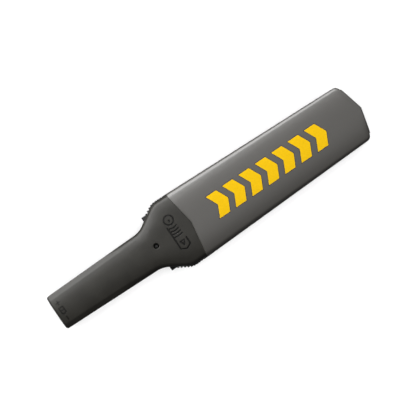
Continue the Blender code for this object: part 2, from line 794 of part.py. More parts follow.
def make_push_button():
    """The momentary button on the other shoulder, its plunger and the switch."""
    wall_y = -HANDLE_ROOT_HALF_WIDTH
    inner = wall_y + CONTROL_DEPTH - 2.4 * MM
    low = (BUTTON_END_X, -BUTTON_FACE_Y, CONTROL_LOW_Z)
    high = (BUTTON_FRONT_X, inner, CONTROL_HIGH_Z)
    button = block("push_button", low, high, (BLACK, 0.6), 0.5 * MM)
    skirt_y = wall_y + WALL + 0.6 * MM
    skirt_low = (BUTTON_END_X - FLANGE_MARGIN / 2, skirt_y - FLANGE, CONTROL_LOW_Z - 0.8 * MM)
    skirt_high = (BUTTON_FRONT_X + FLANGE_MARGIN, skirt_y, CONTROL_HIGH_Z + 0.8 * MM)
    join(button, block("button_skirt", skirt_low, skirt_high))
    neck_low = (BUTTON_END_X + 1 * MM, inner - 1 * MM, CONTROL_LOW_Z + 1 * MM)
    neck_high = (BUTTON_FRONT_X - 1 * MM, skirt_y - FLANGE / 2, CONTROL_HIGH_Z - 1 * MM)
    join(button, block("button_neck", neck_low, neck_high))
    x = (BUTTON_END_X + BUTTON_FRONT_X) / 2
    z = (CONTROL_LOW_Z + CONTROL_HIGH_Z) / 2
    start = (x, skirt_y + FIT_GAP, z)
    plunger_end = skirt_y + FIT_GAP + 1.4 * MM
    rod("button_plunger", start, (x, plunger_end, z), 1.5 * MM, ((0.7, 0.7, 0.68), 0.5), sides=16)
    body_y = plunger_end + BUTTON_TRAVEL + FIT_GAP
    size = 3 * MM
    low = (x - size, body_y, z - size)
    block("tact_switch", low, (x + size, body_y + 3.5 * MM, z + size), ((0.02, 0.02, 0.02), 0.4), 0.4 * MM)


def make_main_board():
    """The circuit board and what is soldered to it."""
    green = ((0.01, 0.09, 0.04), 0.4)
    chip = ((0.015, 0.015, 0.016), 0.45)
    sides = []
    for x in (BOARD_REAR_X, PADDLE_ROOT_X, BOARD_FRONT_X):
        sides.append((x, half_width(x, 0) - BOARD_MARGIN))
    outline = sides + [(x, -y) for x, y in reversed(sides)]
    top = BOARD_Z + BOARD_THICKNESS
    board = prism("main_board", outline, BOARD_Z, top, green)
    for i, (x, y) in enumerate(board_screw_places()):
        hole = SCREW_RADIUS + FIT_GAP
        cut(board, rod(f"board_hole_{i + 1}", (x, y, 0), (x, y, THICKNESS), hole, sides=12))
    seat = top + FIT_GAP
    for name, x, y, long, wide, tall in (
        ("microcontroller", -30 * MM, 8 * MM, 12 * MM, 12 * MM, 1.6 * MM),
        ("coil_driver", -12 * MM, -6 * MM, 10 * MM, 6 * MM, 1.8 * MM),
        ("audio_amplifier", -38 * MM, -9 * MM, 6 * MM, 5 * MM, 1.6 * MM),
        ("coil_connector", 0 * MM, 0 * MM, 5 * MM, 11 * MM, 5 * MM),
        ("battery_connector", -57 * MM, -6 * MM, 5 * MM, 7 * MM, 5 * MM),
    ):
        low = (x - long / 2, y - wide / 2, seat)
        block(name, low, (x + long / 2, y + wide / 2, seat + tall), chip, 0.3 * MM)
    for i, y in enumerate((18 * MM, -18 * MM)):
        can = ((0.3, 0.31, 0.34), 0.35, 0.6)
        rod(f"capacitor_{i + 1}", (-24 * MM, y, seat), (-24 * MM, y, seat + 8 * MM), 3.1 * MM, can, sides=20)


def make_trimmer():
    """The sensitivity trimmer under the board, turned through a port in the console."""
    top = BOARD_Z - FIT_GAP
    low = top - 4 * MM
    size = TRIMMER_RADIUS + 0.9 * MM
    blue = ((0.02, 0.09, 0.35), 0.4)
    block("trimmer_body", (TRIMMER_X - size, -size, low), (TRIMMER_X + size, size, top), blue, 0.3 * MM)
    face = low - FIT_GAP
    profile = [(0, 0), (0, -1.6 * MM), (TRIMMER_RADIUS * 0.9, -1.6 * MM)]
    profile += [(TRIMMER_RADIUS, -1.3 * MM), (TRIMMER_RADIUS, 0)]
    brass = ((0.55, 0.38, 0.12), 0.35, 0.9)
    rotor = turned("trimmer_rotor", profile, (TRIMMER_X, 0, face), brass, sides=20)
    slot_low = (TRIMMER_X - TRIMMER_RADIUS * 0.7, -0.4 * MM, face - 2 * MM)
    slot_high = (TRIMMER_X + TRIMMER_RADIUS * 0.7, 0.4 * MM, face - 0.9 * MM)
    cut(rotor, block("rotor_slot", slot_low, slot_high))


def make_lamps():
    """Three indicator lenses and the lamps behind them."""
    colours = {
        "green": (0.02, 0.45, 0.08),
        "amber": (0.8, 0.35, 0.02),
        "red": (0.6, 0.02, 0.02),
    }
    for (x, y), (name, colour) in zip(lens_places(), colours.items()):
        low = 0.4 * MM
        rod(f"lens_{name}", (x, y, low), (x, y, low + 3.6 * MM), LENS_RADIUS, (colour, 0.15), sides=20)
        lamp = low + 3.6 * MM + FIT_GAP
        lamp_top = lamp + 3 * MM
        rod(f"lamp_{name}", (x, y, lamp), (x, y, lamp_top), LENS_RADIUS * 0.8, (colour, 0.3), sides=16)


def make_speaker():
    """The speaker behind the grille: frame, cone and magnet."""
    at = (SPEAKER_X, 0, SPEAKER_Z)
    outer = SPEAKER_RADIUS
    inner = outer - 2 * MM
    tall = SPEAKER_HEIGHT
    frame = [(outer, 0), (outer, 1.2 * MM), (MAGNET_RADIUS + 1 * MM, tall), (MAGNET_RADIUS - 2 * MM, tall)]
    frame += [(MAGNET_RADIUS - 2 * MM, tall - 1 * MM), (MAGNET_RADIUS, tall - 1 * MM)]
    frame += [(inner, 0.6 * MM), (inner, 0)]
    turned("speaker_frame", frame, at, ((0.25, 0.25, 0.26), 0.4, 0.8), sides=28)
    cone_edge = inner - 3 * MM
    cone = [(0, 2.2 * MM), (3 * MM, 2.2 * MM), (cone_edge, 0.2 * MM), (cone_edge, -0.3 * MM)]
    cone += [(3 * MM, 1.5 * MM), (0, 1.5 * MM)]
    place = (SPEAKER_X, 0, SPEAKER_Z + CONE_TRAVEL + 0.4 * MM)
    turned("speaker_cone", cone, place, ((0.03, 0.03, 0.03), 0.8), sides=28)
    low = SPEAKER_Z + tall + FIT_GAP
    start = (SPEAKER_X, 0, low)
    end = (SPEAKER_X, 0, low + MAGNET_HEIGHT)
    rod("speaker_magnet", start, end, MAGNET_RADIUS, ((0.3, 0.3, 0.3), 0.3, 0.9), sides=28)


def make_jack():
    """The headphone and charging socket in the console's side."""
    wall_y = half_width(JACK_X, 0) - CONSOLE_INSET
    face = wall_y - 0.3 * MM
    inner = wall_y - WALL - 1.5 * MM
    dark = ((0.02, 0.02, 0.02), 0.4)
    size = JACK_HALF_BODY
    low = (JACK_X - size, inner - 9 * MM, JACK_Z - size)
    socket = block("audio_socket", low, (JACK_X + size, inner, JACK_Z + size), dark, 0.3 * MM)
    join(socket, rod("socket_nose", (JACK_X, inner - 1 * MM, JACK_Z), (JACK_X, face, JACK_Z), JACK_RADIUS))
    start = (JACK_X, inner - 7 * MM, JACK_Z)
    cut(socket, rod("socket_bore", start, (JACK_X, face + WALL, JACK_Z), JACK_BORE_RADIUS))


def make_motor():
    """The vibration motor in the handle, its clamp and its off-centre weight."""
    steel = ((0.5, 0.5, 0.52), 0.3, 0.9)
    end = MOTOR_X + MOTOR_LENGTH
    motor = rod("vibration_motor", (MOTOR_X, 0, MOTOR_Z), (end, 0, MOTOR_Z), MOTOR_RADIUS, steel, sides=20)
    join(motor, rod("motor_nose", (end - 1 * MM, 0, MOTOR_Z), (end + 1 * MM, 0, MOTOR_Z), 1 * MM, sides=12))
    floor = bottom_height(MOTOR_X) + WALL + 2 * FIT_GAP
    wide = MOTOR_RADIUS + 2.5 * MM
    low = (MOTOR_X + 1.5 * MM, -wide, floor)
    bracket = block("motor_bracket", low, (end - 1.5 * MM, wide, MOTOR_Z), ((0.02, 0.02, 0.02), 0.7))
    bore = rod("bracket_bore", (MOTOR_X - WALL, 0, MOTOR_Z), (end + WALL, 0, MOTOR_Z), MOTOR_RADIUS + FIT_GAP)
    cut(bracket, bore)
    outline = []
    for i in range(11):
        angle = math.pi * i / 10
        outline.append((WEIGHT_RADIUS * math.cos(angle), -WEIGHT_RADIUS * math.sin(angle)))
    outline.append((-0.8 * MM, 0))
    outline.append((-0.8 * MM, 0.8 * MM))
    outline.append((0.8 * MM, 0.8 * MM))
    brass = ((0.5, 0.36, 0.15), 0.4, 0.9)
    weight = prism("eccentric_weight", outline, 0, WEIGHT_LENGTH, brass)
    weight.rotation_euler = (math.pi / 2, 0, math.pi / 2)
    weight.location = (end + 1 * MM + 2 * FIT_GAP, 0, MOTOR_Z)


def coil_outline(low_x, high_x, margin, radius):
    """A tapered, round-cornered outline that follows the paddle's sides."""
    corners = [
        (low_x, -half_width(low_x) + margin),
        (high_x, -half_width(high_x) + margin),
        (high_x, half_width(high_x) - margin),
        (low_x, half_width(low_x) - margin),
    ]
    return rounded(corners, radius)


def coil(name, low_x, high_x, low_z, high_z, look):
    """One wound coil."""
    outer = coil_outline(low_x, high_x, COIL_MARGIN, 12 * MM)
    inner_margin = COIL_MARGIN + COIL_BAND
    inner = coil_outline(low_x + COIL_BAND, high_x - COIL_BAND, inner_margin, 12 * MM - COIL_BAND)
    ring_prism(name, outer, inner, low_z, high_z, look)


def core(name, low_x, high_x, low_z, high_z):
    """The raised island that a coil is wound round."""
    inset = COIL_BAND + FIT_GAP
    outline = coil_outline(low_x + inset, high_x - inset, COIL_MARGIN + inset, 12 * MM - inset)
    return prism(name, outline, low_z, high_z)


def make_coils():
    """The coil former with one transmit coil above and two receive coils below."""
    low = FORMER_Z
    high = FORMER_Z + FORMER_THICKNESS
    outline = coil_outline(FORMER_REAR_X, FORMER_FRONT_X, FORMER_MARGIN, 6 * MM)
    former = prism("coil_former", outline, low, high, ((0.5, 0.49, 0.45), 0.6))
    near_x = FORMER_REAR_X + COIL_END_GAP
    far_x = FORMER_FRONT_X - COIL_END_GAP
    middle = (near_x + far_x) / 2
    copper = ((0.55, 0.2, 0.07), 0.35, 0.8)
    half_gap = RECEIVE_SPACING / 2
    top = high + FIT_GAP
    under = low - FIT_GAP
    join(former, core("transmit_core", near_x, far_x, high - 1 * MM, top + TRANSMIT_HEIGHT))
    coil("transmit_coil", near_x, far_x, top, top + TRANSMIT_HEIGHT, copper)
    ends = (("near", near_x, middle - half_gap), ("far", middle + half_gap, far_x))
    for place, start, end in ends:
        join(former, core(f"receive_core_{place}", start, end, under - RECEIVE_HEIGHT, low + 1 * MM))
        coil(f"receive_coil_{place}", start, end, under - RECEIVE_HEIGHT, under, copper)
    for i, (x, y) in enumerate(former_screw_places()):
        hole = SCREW_RADIUS + FIT_GAP
        cut(former, rod(f"former_hole_{i + 1}", (x, y, 0), (x, y, THICKNESS), hole, sides=12))


def smooth_route(points, spacing):
    """Points at an even spacing on a smooth curve through the given ones."""
    points = [Vector(point) for point in points]
    padded = [2 * points[0] - points[1], *points, 2 * points[-1] - points[-2]]
    route = []
    for p0, p1, p2, p3 in zip(padded, padded[1:], padded[2:], padded[3:]):
        steps = max(2, round((p2 - p1).length / spacing))
        for i in range(steps):
            t = i / steps
            bend = (2 * p0 - 5 * p1 + 4 * p2 - p3) * t * t
            twist = (3 * p1 - p0 - 3 * p2 + p3) * t**3
            route.append((2 * p1 + (p2 - p0) * t + bend + twist) / 2)
    return [*route, points[-1]]


def lead(name, points, radius, colour):
    """An insulated wire along its own route."""
    route = smooth_route(points, 6 * radius)
    curve = bpy.data.curves.new(name, "CURVE")
    curve.dimensions = "3D"
    curve.bevel_depth = radius
    curve.bevel_resolution = 2
    curve.use_fill_caps = True
    spline = curve.splines.new("POLY")
    spline.points.add(len(route) - 1)
    for point, place in zip(spline.points, route):
        point.co = (*place, 1)
    curve.materials.append(finish(name, colour, 0.5))
    made = bpy.data.objects.new(name, curve)
    bpy.context.scene.collection.objects.link(made)


def make_leads():
    """The leads from the battery and to the coils, clipped inside the housing."""
    _, front = battery_ends()
    start = front + TERMINAL_HEIGHT + 3 * MM + 4 * FIT_GAP
    rise = BATTERY_Z + BATTERY_HEIGHT / 2
    above = MOTOR_Z + MOTOR_RADIUS + 4 * MM
    end_x = -57 * MM - 2.5 * MM - 3 * FIT_GAP
    end_z = BOARD_Z + BOARD_THICKNESS + 3 * MM
    for name, side, colour in (("lead_red", 1, (0.5, 0.02, 0.02)), ("lead_black", -1, (0.01, 0.01, 0.01))):
        y = side * 1.6 * MM
        aside = -10 * MM + side * 1.6 * MM
        points = [
            (start, side * TERMINAL_SPACING / 4, rise),
            (start + 4 * MM, side * 2.4 * MM, rise - 3 * MM),
            (start + 8 * MM, y, rise - 4 * MM),
            (-125 * MM, aside * 0.5, above),
            (-105 * MM, aside, above),
            (-85 * MM, aside, above),
            (-68 * MM, aside, end_z + 1 * MM),
            (end_x, -6 * MM + side * 1.6 * MM, end_z),
        ]
        lead(name, points, 0.7 * MM, colour)
    points = [
        (0 * MM + 2.5 * MM + FIT_GAP, 0, BOARD_Z + BOARD_THICKNESS + 3 * MM),
        (8 * MM, 0, BOARD_Z + BOARD_THICKNESS + 3.5 * MM),
        (16 * MM, 2 * MM, FORMER_Z - 1 * MM),
        (FORMER_REAR_X - 3 * FIT_GAP, 3 * MM, FORMER_Z + FORMER_THICKNESS / 2),
    ]
    lead("coil_lead", points, 1 * MM, (0.05, 0.05, 0.05))


def main():
    """Build the wand."""
    clear_scene()
    make_rear_shell()
    make_paddle_cover()
    make_front_shell()
    make_battery_door()
    make_battery()
    make_screws()
    make_power_slider()
    make_push_button()
    make_main_board()
    make_trimmer()
    make_lamps()
    make_speaker()
    make_jack()
    make_motor()
    make_coils()
    make_leads()


main()
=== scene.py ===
"""Looks of a hand-held metal detector wand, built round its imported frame.

The wand lies on its console with the plain back up: +X runs from the butt to the paddle's
tip, +Y is the power slider's side. Lengths are in metres.
"""

import logging
import math
from collections.abc import Sequence
from dataclasses import dataclass
from enum import Enum

import bmesh
import bpy
from mathutils import Matrix, Vector


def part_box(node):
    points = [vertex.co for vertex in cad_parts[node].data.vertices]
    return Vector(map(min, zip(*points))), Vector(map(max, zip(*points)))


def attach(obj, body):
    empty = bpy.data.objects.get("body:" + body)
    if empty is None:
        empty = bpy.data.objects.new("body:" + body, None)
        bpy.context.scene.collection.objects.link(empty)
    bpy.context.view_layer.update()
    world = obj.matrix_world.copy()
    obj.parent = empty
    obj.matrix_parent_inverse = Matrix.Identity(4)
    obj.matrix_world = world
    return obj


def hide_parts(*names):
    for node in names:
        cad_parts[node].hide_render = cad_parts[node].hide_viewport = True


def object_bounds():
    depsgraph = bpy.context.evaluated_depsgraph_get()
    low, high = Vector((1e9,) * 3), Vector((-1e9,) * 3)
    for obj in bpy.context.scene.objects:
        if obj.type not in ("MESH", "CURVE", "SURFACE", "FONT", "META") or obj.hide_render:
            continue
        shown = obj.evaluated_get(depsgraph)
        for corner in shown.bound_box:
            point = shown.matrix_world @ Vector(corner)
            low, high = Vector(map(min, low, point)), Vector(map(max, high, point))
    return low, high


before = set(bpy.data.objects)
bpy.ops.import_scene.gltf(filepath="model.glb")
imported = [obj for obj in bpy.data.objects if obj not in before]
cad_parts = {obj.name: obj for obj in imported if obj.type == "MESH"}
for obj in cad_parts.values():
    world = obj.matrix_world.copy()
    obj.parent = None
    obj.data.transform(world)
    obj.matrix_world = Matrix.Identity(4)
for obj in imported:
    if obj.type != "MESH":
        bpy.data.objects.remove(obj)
CAD_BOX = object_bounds()

MM = 0.001
LOG = logging.getLogger("wand")

Point = tuple[float, float]
Piece = bpy.types.Object
Mesh = bmesh.types.BMesh
Corner = bmesh.types.BMVert
Edge = bmesh.types.BMEdge
Colour = tuple[float, float, float]
Nodes = bpy.types.ShaderNodeTree
Socket = bpy.types.NodeSocket

# Where the values of noise mostly lie.
NOISE_SPAN = (0.3, 0.7)


# ---------------------------------------------------------------------------- finishes


class Grain(Enum):
    """How coarse the texture of a moulded surface is: its noise scale, per metre."""

    SPARK = 1500.0
    SATIN = 2600.0
    SMOOTH = 4200.0


def shader_of(name: str) -> tuple[bpy.types.Material, bpy.types.Node]:
    """A new node material.

    Args:
        name: The material's name.

    Returns:
        The material and its Principled shader.
    """
    material = bpy.data.materials.new(name)
    material.use_nodes = True
    return material, material.node_tree.nodes["Principled BSDF"]


def noise(tree: Nodes, scale: float, detail: float = 3.0, stretch: Sequence[float] = (1, 1, 1)) -> Socket:
    """Noise on the piece's own coordinates.

    Args:
        tree: The material's node tree.
        scale: Features per metre.
        detail: Octaves of finer noise.
        stretch: How the pattern is squeezed along each axis.

    Returns:
        The noise value's socket.
    """
    place = tree.nodes.new("ShaderNodeTexCoord")
    mapping = tree.nodes.new("ShaderNodeMapping")
    mapping.inputs["Scale"].default_value = stretch
    texture = tree.nodes.new("ShaderNodeTexNoise")
    texture.inputs["Scale"].default_value = scale
    texture.inputs["Detail"].default_value = detail
    tree.links.new(place.outputs["Object"], mapping.inputs["Vector"])
    tree.links.new(mapping.outputs["Vector"], texture.inputs["Vector"])
    return texture.outputs["Fac"]


def ramp(tree: Nodes, value: Socket, span: Point, to: Point) -> Socket:
    """A value moved from one range to another, and clamped.

    Args:
        tree: The material's node tree.
        value: The socket to read.
        span: The range that it is read over.
        to: The range that it becomes.

    Returns:
        The new value's socket.
    """
    node = tree.nodes.new("ShaderNodeMapRange")
    node.inputs["From Min"].default_value, node.inputs["From Max"].default_value = span
    node.inputs["To Min"].default_value, node.inputs["To Max"].default_value = to
    tree.links.new(value, node.inputs["Value"])
    return node.outputs["Result"]


def blend(tree: Nodes, amount: Socket, first: Colour | Socket, second: Colour) -> Socket:
    """A colour between two, by a value.

    Args:
        tree: The material's node tree.
        amount: The share of the second colour.
        first: The colour at 0, or the socket that gives it.
        second: The colour at 1.

    Returns:
        The colour's socket.
    """
    node = tree.nodes.new("ShaderNodeMix")
    node.data_type = "RGBA"
    if isinstance(first, Socket):
        tree.links.new(first, node.inputs["A"])
    else:
        node.inputs["A"].default_value = (*first, 1)
    node.inputs["B"].default_value = (*second, 1)
    tree.links.new(amount, node.inputs["Factor"])
    return node.outputs["Result"]


def clouds(tree: Nodes, scale: float, detail: float, to: Point = (0, 1)) -> Socket:
    """Soft clouds of noise, spread over a range of values."""
    return ramp(tree, noise(tree, scale, detail), NOISE_SPAN, to)


def bump(tree: Nodes, height: Socket, depth: float, under: Socket | None = None) -> Socket:
    """A bump from a height.

    Args:
        tree: The material's node tree.
        height: The height's socket, from 0 to 1.
        depth: The real depth of the bump.
        under: A coarser bump that this one goes on.

    Returns:
        The normal's socket.
    """
    node = tree.nodes.new("ShaderNodeBump")
    node.inputs["Strength"].default_value = 1.0
    node.inputs["Distance"].default_value = depth
    tree.links.new(height, node.inputs["Height"])
    if under:
        tree.links.new(under, node.inputs["Normal"])
    return node.outputs["Normal"]


def shade(colour: Colour, by: float) -> Colour:
    """A colour made lighter or darker by a factor."""
    return tuple(min(1.0, part * by) for part in colour)


@dataclass(frozen=True)
class Finish:
    """A procedural finish. Each kind paints a colour, a roughness and a relief of its own."""

    name: str
    colour: Colour

    def paint(self, tree: Nodes, shader: bpy.types.Node) -> None:
        """Fill in the shader's inputs."""
        raise NotImplementedError

    def material(self) -> bpy.types.Material:
        """The finish as a node material.

        Returns:
            A new material.
        """
        material, shader = shader_of(self.name)
        self.paint(material.node_tree, shader)
        return material


@dataclass(frozen=True)
class Moulding(Finish):
    """Moulded plastic with a grain, faint mottling, rubbed edges and, where asked, painted shade darkening
    its engraved grooves.
    """

    roughness: float
    grain: Grain = Grain.SATIN
    depth: float = 0.02 * MM
    mottle: float = 0.06
    rub: float = 0.25
    gloss: float = 0.5
    # How much painted shade darkens the engraved grooves, 0 for none.
    groove: float = 0.0
    spread: float = 0.04

    def painted_groove_shade(self, tree: Nodes, colour: Socket) -> Socket:
        """The colour with painted shade: darker where the surface is engraved, standing in for the shade that
        falls in the grooves.

        Args:
            tree: The material's node tree.
            colour: The colour's socket.

        Returns:
            The socket of the darkened colour.
        """
        if not self.groove:
            return colour
        # Painted shade: the engraved mask darkens the colour where shade falls in the grooves.
        sunk = tree.nodes.new("ShaderNodeAttribute")
        sunk.attribute_name = "engraved"
        share = ramp(tree, sunk.outputs["Fac"], (0.1, 0.9), (0, 1))
        return blend(tree, share, colour, shade(self.colour, 1 - self.groove))

    def paint(self, tree: Nodes, shader: bpy.types.Node) -> None:
        """Fill in the shader's inputs.

        Args:
            tree: The material's node tree.
            shader: Its Principled shader.
        """
        pale, dark = shade(self.colour, 1 + self.mottle), shade(self.colour, 1 - self.mottle)
        body = blend(tree, clouds(tree, 55, 4), dark, pale)
        edges = tree.nodes.new("ShaderNodeNewGeometry").outputs["Pointiness"]
        worn = ramp(tree, edges, (0.55, 0.7), (0, self.rub))
        rubbed = blend(tree, worn, body, shade(self.colour, 2.2))
        tree.links.new(self.painted_groove_shade(tree, rubbed), shader.inputs["Base Color"])
        low, high = self.roughness - self.spread, self.roughness + self.spread
        tree.links.new(clouds(tree, 160, 3, (low, high)), shader.inputs["Roughness"])
        coarse = bump(tree, noise(tree, self.grain.value / 4, 2), self.depth)
        fine = bump(tree, noise(tree, self.grain.value, 2), self.depth, coarse)
        tree.links.new(fine, shader.inputs["Normal"])
        shader.inputs["Specular IOR Level"].default_value = self.gloss


@dataclass(frozen=True)
class Print(Finish):
    """Screen-printed ink: almost even, with a faint orange-peel surface."""

    roughness: float = 0.42

    def paint(self, tree: Nodes, shader: bpy.types.Node) -> None:
        """Fill in the shader's inputs.

        Args:
            tree: The material's node tree.
            shader: Its Principled shader.
        """
        ink = blend(tree, clouds(tree, 400, 4), shade(self.colour, 0.96), shade(self.colour, 1.03))
        tree.links.new(ink, shader.inputs["Base Color"])
        tree.links.new(bump(tree, noise(tree, 2400, 2), 0.006 * MM), shader.inputs["Normal"])
        shader.inputs["Roughness"].default_value = self.roughness
        shader.inputs["Specular IOR Level"].default_value = 0.12


@dataclass(frozen=True)
class Metal(Finish):
    """Plated or drawn metal with fine scratches along one direction."""

    roughness: float = 0.3
    stretch: tuple[float, float, float] = (1, 1, 1)

    def paint(self, tree: Nodes, shader: bpy.types.Node) -> None:
        """Fill in the shader's inputs.

        Args:
            tree: The material's node tree.
            shader: Its Principled shader.
        """
        lines = noise(tree, 1800, 3, self.stretch)
        low, high = self.roughness * 0.75, self.roughness * 1.3
        tree.links.new(ramp(tree, lines, NOISE_SPAN, (low, high)), shader.inputs["Roughness"])
        stain = ramp(tree, noise(tree, 300, 4), (0.35, 0.75), (0, 1))
        tree.links.new(blend(tree, stain, self.colour, shade(self.colour, 0.8)), shader.inputs["Base Color"])
        tree.links.new(bump(tree, lines, 0.008 * MM), shader.inputs["Normal"])
        shader.inputs["Metallic"].default_value = 1.0


class Weave(Enum):
    """The kind of drawn pattern on a surface."""

    TRACES = "traces"
    TURNS = "turns"
    BAND = "band"


@dataclass(frozen=True)
class Pattern(Finish):
    """Two colours in a drawn pattern: a board's traces, a coil's turns or a film's bands."""

    second: Colour
    weave: Weave
    scale: float
    roughness: float

    def lines(self, tree: Nodes) -> Socket:
        """The pattern's value, 1 where the second colour shows.

        Args:
            tree: The material's node tree.

        Returns:
            The value's socket.
        """
        place = tree.nodes.new("ShaderNodeTexCoord").outputs["Object"]
        if self.weave is Weave.TRACES:
            bricks = tree.nodes.new("ShaderNodeTexBrick")
            bricks.inputs["Scale"].default_value = self.scale
            bricks.inputs["Mortar Size"].default_value = 0.06
            bricks.inputs["Mortar Smooth"].default_value = 0.1
            tree.links.new(place, bricks.inputs["Vector"])
            return bricks.outputs["Fac"]
        wave = tree.nodes.new("ShaderNodeTexWave")
        wave.bands_direction = "Z" if self.weave is Weave.TURNS else "X"
        wave.inputs["Scale"].default_value = self.scale
        wave.inputs["Distortion"].default_value = 1.2 if self.weave is Weave.TURNS else 0.0
        tree.links.new(place, wave.inputs["Vector"])
        span = (0.2, 0.8) if self.weave is Weave.TURNS else (0.86, 0.9)
        return ramp(tree, wave.outputs["Fac"], span, (0, 1))

    def paint(self, tree: Nodes, shader: bpy.types.Node) -> None:
        """Fill in the shader's inputs.

        Args:
            tree: The material's node tree.
            shader: Its Principled shader.
        """
        lines = self.lines(tree)
        tree.links.new(blend(tree, lines, self.colour, self.second), shader.inputs["Base Color"])
        spread = clouds(tree, 500, 3, (self.roughness * 0.8, self.roughness * 1.25))
        tree.links.new(spread, shader.inputs["Roughness"])
        grain = bump(tree, noise(tree, 1800, 2), 0.004 * MM)
        tree.links.new(bump(tree, lines, 0.03 * MM, grain), shader.inputs["Normal"])


@dataclass(frozen=True)
class Lens(Finish):
    """Tinted clear plastic."""

    def paint(self, tree: Nodes, shader: bpy.types.Node) -> None:
        """Fill in the shader's inputs.

        Args:
            tree: The material's node tree.
            shader: Its Principled shader.
        """
        tint = blend(tree, clouds(tree, 900, 2), self.colour, shade(self.colour, 0.85))
        tree.links.new(tint, shader.inputs["Base Color"])
        tree.links.new(bump(tree, noise(tree, 1500, 2), 0.004 * MM), shader.inputs["Normal"])
        shader.inputs["Roughness"].default_value = 0.12
        shader.inputs["Transmission Weight"].default_value = 0.35
        shader.inputs["Coat Weight"].default_value = 0.5


CHARCOAL = Moulding(
    "charcoal_plastic",
    colour=(0.0245, 0.0232, 0.0198),
    roughness=0.37,
    grain=Grain.SPARK,
    depth=0.01 * MM,
    mottle=0.15,
    gloss=0.33,
    # painted shade in the engraved grooves
    groove=0.9,
)
GREY = Moulding(
    "grey_plastic",
    colour=(0.061, 0.0578, 0.0525),
    roughness=0.34,
    depth=0.001 * MM,
    mottle=0.02,
    rub=0,
    gloss=1.0,
    spread=0.004,
)
BLACK = Moulding("black_plastic", (0.009, 0.009, 0.008), 0.45, Grain.SPARK, 0.01 * MM, gloss=0.4)
CONTROL = Moulding("control_plastic", (0.008, 0.008, 0.008), 0.5, Grain.SPARK, 0.01 * MM, gloss=0.35)
YELLOW = Print("yellow_ink", (0.765, 0.465, 0.002))
KEYLINE = Print("dark_ink", (0.028, 0.030, 0.050))
DARK_STEEL = Metal("blackened_steel", (0.10, 0.10, 0.10), 0.38)
STEEL = Metal("plated_steel", (0.42, 0.42, 0.43), 0.32)
TURNED_STEEL = Metal("turned_steel", (0.36, 0.36, 0.37), 0.28, (1, 1, 12))
MAGNET = Metal("nickel_magnet", (0.30, 0.29, 0.27), 0.22)
BRASS = Metal("turned_brass", (0.50, 0.34, 0.13), 0.26, (1, 1, 10))
CAN = Metal("aluminium_can", (0.40, 0.41, 0.43), 0.3, (1, 1, 14))
INNER = Moulding("inner_plastic", (0.018, 0.018, 0.018), 0.42, Grain.SATIN, 0.008 * MM)
CHIP = Moulding("chip_moulding", (0.014, 0.014, 0.015), 0.5, Grain.SPARK, 0.012 * MM, mottle=0.12)
PAPER = Moulding("cone_paper", (0.022, 0.021, 0.020), 0.8, Grain.SMOOTH, 0.03 * MM, mottle=0.2, gloss=0.2)
LEVER = Moulding("lever_plastic", (0.66, 0.65, 0.61), 0.38, Grain.SATIN, 0.006 * MM)
FORMER = Moulding("former_plastic", (0.50, 0.48, 0.42), 0.45, Grain.SATIN, 0.01 * MM)
BLUE = Moulding("trimmer_plastic", (0.012, 0.075, 0.34), 0.3, Grain.SATIN, 0.004 * MM)
RED_WIRE = Moulding("red_insulation", (0.46, 0.016, 0.014), 0.38, Grain.SMOOTH, 0.004 * MM)
BLACK_WIRE = Moulding("black_insulation", (0.011, 0.011, 0.011), 0.38, Grain.SMOOTH, 0.004 * MM)
GREEN_LENS = Lens("green_lens", (0.02, 0.42, 0.07))
AMBER_LENS = Lens("amber_lens", (0.75, 0.31, 0.015))
RED_LENS = Lens("red_lens", (0.55, 0.015, 0.015))
BOARD = Pattern("solder_mask", (0.008, 0.075, 0.032), (0.02, 0.13, 0.055), Weave.TRACES, 125.0, 0.25)
WINDING = Pattern("enamelled_winding", (0.50, 0.16, 0.045), (0.20, 0.05, 0.015), Weave.TURNS, 620.0, 0.28)
WRAP = Pattern("battery_film", (0.012, 0.020, 0.045), (0.62, 0.60, 0.56), Weave.BAND, 10.0, 0.25)


# ---------------------------------------------------------------------------- mesh work


def fillet(before: Point, corner: Point, after: Point, radius: float, steps: int) -> list[Point]:
    """The arc that rounds a corner of a plan outline.

    Args:
        before: The point before the corner.
        corner: The corner.
        after: The point after it.
        radius: The arc's radius.
        steps: How many straight pieces stand for the arc.

    Returns:
        The arc's points.
    """
    start, middle, end = Vector(before), Vector(corner), Vector(after)
    back = (start - middle).normalized()
    ahead = (end - middle).normalized()
    half = back.angle(ahead) / 2
    centre = middle + (back + ahead).normalized() * (radius / math.sin(half))
    reach = radius / math.tan(half)
    first = (middle + back * reach) - centre
    last = (middle + ahead * reach) - centre
    return [tuple(centre + first.slerp(last, i / steps).normalized() * radius) for i in range(steps + 1)]


def between(x: float, points: Sequence[Point]) -> float:
    """Straight-line interpolation through (x, value) points.

    Args:
        x: Where the value is wanted.
        points: The points, in order.

    Returns:
        The value, level beyond both ends.
    """
    if x <= points[0][0]:
        return points[0][1]
    for (x0, v0), (x1, v1) in zip(points, points[1:]):
        if x <= x1:
            return v0 + (v1 - v0) * (x - x0) / (x1 - x0)
    return points[-1][1]


def fade(value: float, low: float, high: float) -> float:
    """A smooth step from 0 at low to 1 at high."""
    share = min(1.0, max(0.0, (value - low) / (high - low)))
    return share * share * (3 - 2 * share)


def steps(low: float, high: float, size: float) -> list[float]:
    """Even places from low to high, no further apart than a size."""
    count = max(1, math.ceil((high - low) / size - 1e-6))
    return [low + (high - low) * i / count for i in range(count + 1)]


def quarter(count: int) -> list[Point]:
    """The cosines and sines over a quarter turn, in even steps."""
    angles = [math.pi / 2 * i / count for i in range(count + 1)]
    return [(math.cos(angle), math.sin(angle)) for angle in angles]


def rectangle(x0: float, x1: float, y0: float, y1: float) -> list[Point]:
    """The corners of a rectangle in plan."""
    return [(x0, y0), (x1, y0), (x1, y1), (x0, y1)]


